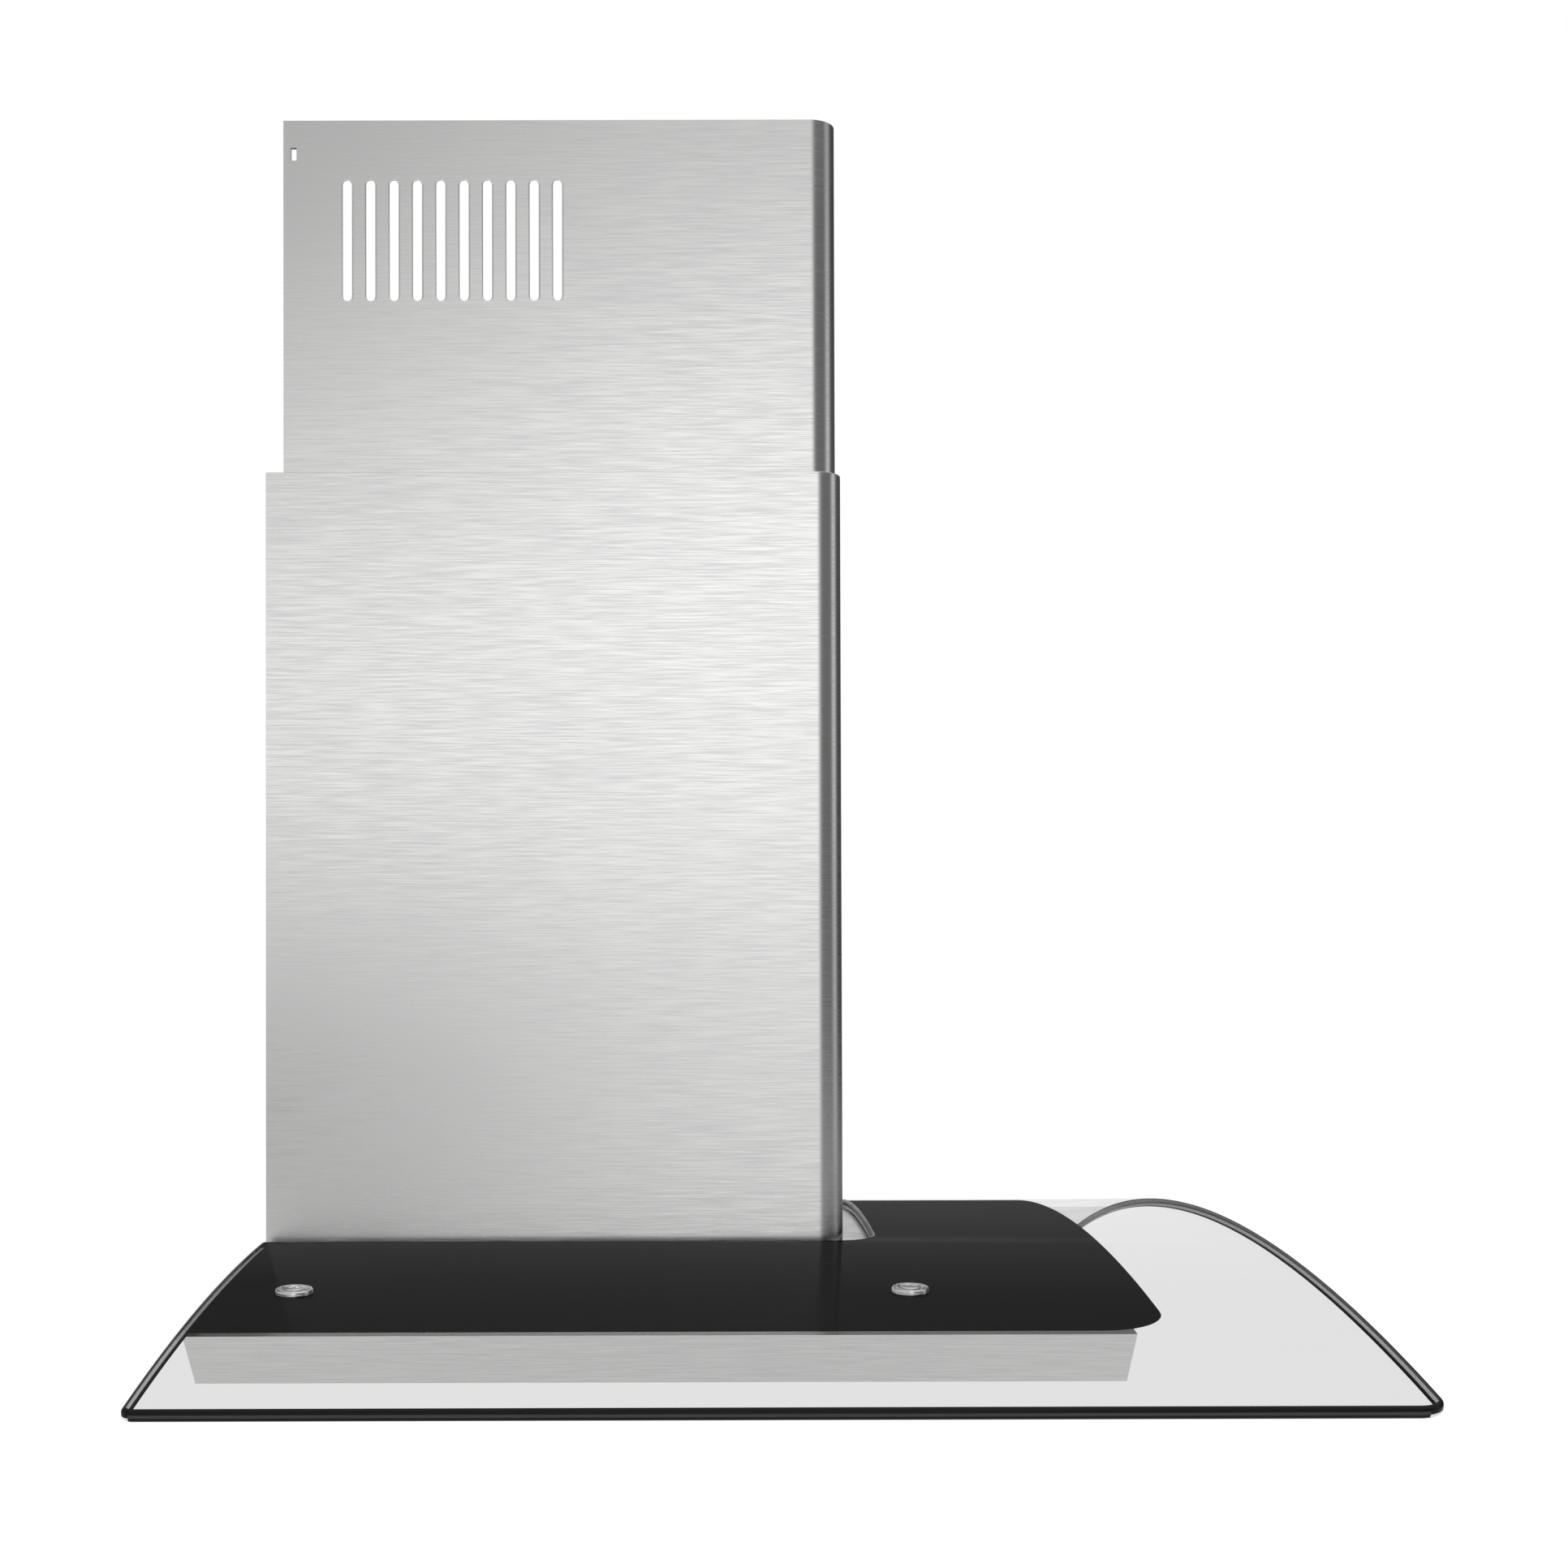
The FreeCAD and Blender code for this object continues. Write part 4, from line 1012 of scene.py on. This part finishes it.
# Studio: a pale floor, soft light from above, and a surround that only reflections see
studio = {
    "floorDrop": 0.95, "floorSize": 60.0, "cameraBack": 0.8755, "cameraRise": 0.0791,
    "cameraY": -0.2194, "lens": 53.61, "shiftX": 0.0501, "shiftY": 0.1625, "pitch": 0.69,
    "roll": 0.152, "yaw": -0.06,
}


def floorMaterial():
    material, graph, shader = newMaterial("paleFloor")
    place = graph.node("ShaderNodeTexCoord").output("Object")
    distance = graph.node("ShaderNodeVectorMath", {"operation": "LENGTH"}, {0: place})
    distance = distance.output("Value")
    grain = stretched(graph, (3.0, 3.0, 3.0), 3.0)
    graph.feed(shader.inputs["Base Color"], graph.blend(grain, grey(0.24), grey(0.26)))
    # far off, the floor darkens towards the wall's side and the cook's side, as the surround does
    bearing = graph.node("ShaderNodeSeparateXYZ", None, {"Vector": place}).output("Y") / distance
    wallSide = graph.spread(bearing, -0.08, 0.20, 1.0, 0.15)
    cookSide = graph.spread(0.0 - bearing, 0.05, 0.46, 1.0, 0.10)
    seen = graph.node("ShaderNodeLightPath").output("Is Camera Ray")
    far = graph.spread(distance, 7.0, 13.0)
    glow = 0.66 * (1.0 - far) + 0.85 * wallSide * cookSide * far
    glow = graph.node("ShaderNodeCombineColor", None, {"Red": glow, "Green": glow, "Blue": glow})
    graph.feed(shader.inputs["Emission Color"], graph.blend(seen, glow, grey(0.90)))
    shader.inputs["Emission Strength"].default_value = 1.0
    shader.inputs["Roughness"].default_value = 0.9
    shader.inputs["Specular IOR Level"].default_value = 0.0
    return material


def makeFloor():
    meshTool = bmesh.new()
    half = studio["floorSize"] / 2
    height = cadBounds[0][2] - studio["floorDrop"]
    corners = [meshTool.verts.new((x * half, y * half, height))
               for x, y in ((-1, -1), (1, -1), (1, 1), (-1, 1))]
    meshTool.faces.new(corners)
    floor = workingObject("floor", meshTool, floorMaterial())


def makeSurround():
    world = bpy.data.worlds.new("surround")
    bpy.context.scene.world = world
    world.use_nodes = True
    world.node_tree.nodes.clear()
    graph = Graph(world.node_tree)
    direction = graph.node("ShaderNodeTexCoord").output("Generated")
    parts = graph.node("ShaderNodeSeparateXYZ", None, {"Vector": direction})
    x = parts
    y = parts.output("Y")
    z = parts.output("Z")
    # brightness by height, from -1 to 1 laid on 0 to 1
    height = graph.node("ShaderNodeValToRGB", {"stops": [
        (0.0, 0.7), (0.485, 0.88), (0.5026, 0.92), (0.5235, 1.02), (0.545, 1.18), (0.58, 1.44),
        (0.633, 1.50), (0.651, 1.22), (0.685, 0.66), (0.78, 0.55), (1.0, 0.95)]},
        {"Fac": z * 0.5 + 0.5})
    height = graph.node("ShaderNodeSeparateColor", None, {"Color": height})
    # how much of that is left on the wall's side, at each height
    left = graph.node("ShaderNodeValToRGB", {"stops": [
        (0.0, 0.5), (0.485, 0.15), (0.5026, 0.22), (0.5235, 0.50), (0.545, 0.92), (0.595, 0.82),
        (0.624, 0.50), (0.651, 0.30), (0.685, 0.60), (1.0, 0.9)]}, {"Fac": z * 0.5 + 0.5})
    left = graph.node("ShaderNodeSeparateColor", None, {"Color": left})
    wallSide = 1.0 - (1.0 - left) * graph.spread(y, -0.08, 0.20)
    cookSide = graph.spread(0.0 - y, 0.05, 0.46, 1.0, 0.10)
    straightOn = graph.spread(x.maths("ABSOLUTE", x, 0.0), 0.32, 0.12)
    straightOn = straightOn * graph.spread(0.0 - y, 0.6, 0.8)
    cookSide = cookSide + 0.35 * straightOn
    lowBand = graph.spread(z, 0.35, 0.60, 1.0, 0.0)
    cookShade = 1.0 - (1.0 - cookSide) * lowBand
    farSide = graph.spread(x, 0.0, 0.6, 1.0, 0.45)
    level = height * wallSide * cookShade * farSide
    lit = graph.node("ShaderNodeBackground", None, {"Color": grey(1.0), "Strength": level})
    plain = graph.node("ShaderNodeBackground", None, {"Color": grey(1.0), "Strength": 1.0})
    seen = graph.node("ShaderNodeLightPath").output("Is Camera Ray")
    mixed = graph.node("ShaderNodeMixShader", None, {0: seen, 1: lit, 2: plain})
    graph.node("ShaderNodeOutputWorld", None, {"Surface": mixed})


lampsInStudio = [
    # name, place, aims at, size, power
    ("topLight", (-0.6, -0.9, 2.2), (0.0, -0.2, 0.1), 2.4, 30.0),
    ("sideLight", (-2.6, 1.0, 2.4), (0.0, -0.2, 0.1), 1.6, 14.0),
]


def makeLights():
    for name, place, target, size, power in lampsInStudio:
        light = bpy.data.lights.new(name, "AREA")
        light.shape = "SQUARE"
        light.size = size
        light.energy = power
        lamp = bpy.data.objects.new(name, light)
        bpy.context.scene.collection.objects.link(lamp)
        lamp.visible_glossy = False
        lamp.location = place
        lamp.rotation_euler = (Vector(target) - Vector(place)).to_track_quat("-Z", "Y").to_euler()


def makeCamera():
    camera = bpy.data.cameras.new("camera")
    camera.lens = studio["lens"]
    camera.sensor_width = 36.0
    camera.shift_x = studio["shiftX"]
    camera.shift_y = studio["shiftY"]
    camera.clip_end = 200.0
    seat = bpy.data.objects.new("camera", camera)
    bpy.context.scene.collection.objects.link(seat)
    seat.location = (canopyLow.x - studio["cameraBack"], studio["cameraY"],
                     canopyHigh.z + studio["cameraRise"])
    seat.rotation_euler = (math.radians(90 + studio["pitch"]), math.radians(studio["roll"]),
                           math.radians(studio["yaw"] - 90))
    bpy.context.scene.camera = seat


makeFloor()
makeSurround()
makeLights()
makeCamera()
bpy.context.scene.view_settings.view_transform = "Standard"
bpy.context.scene.view_settings.look = "None"
print("studio made")
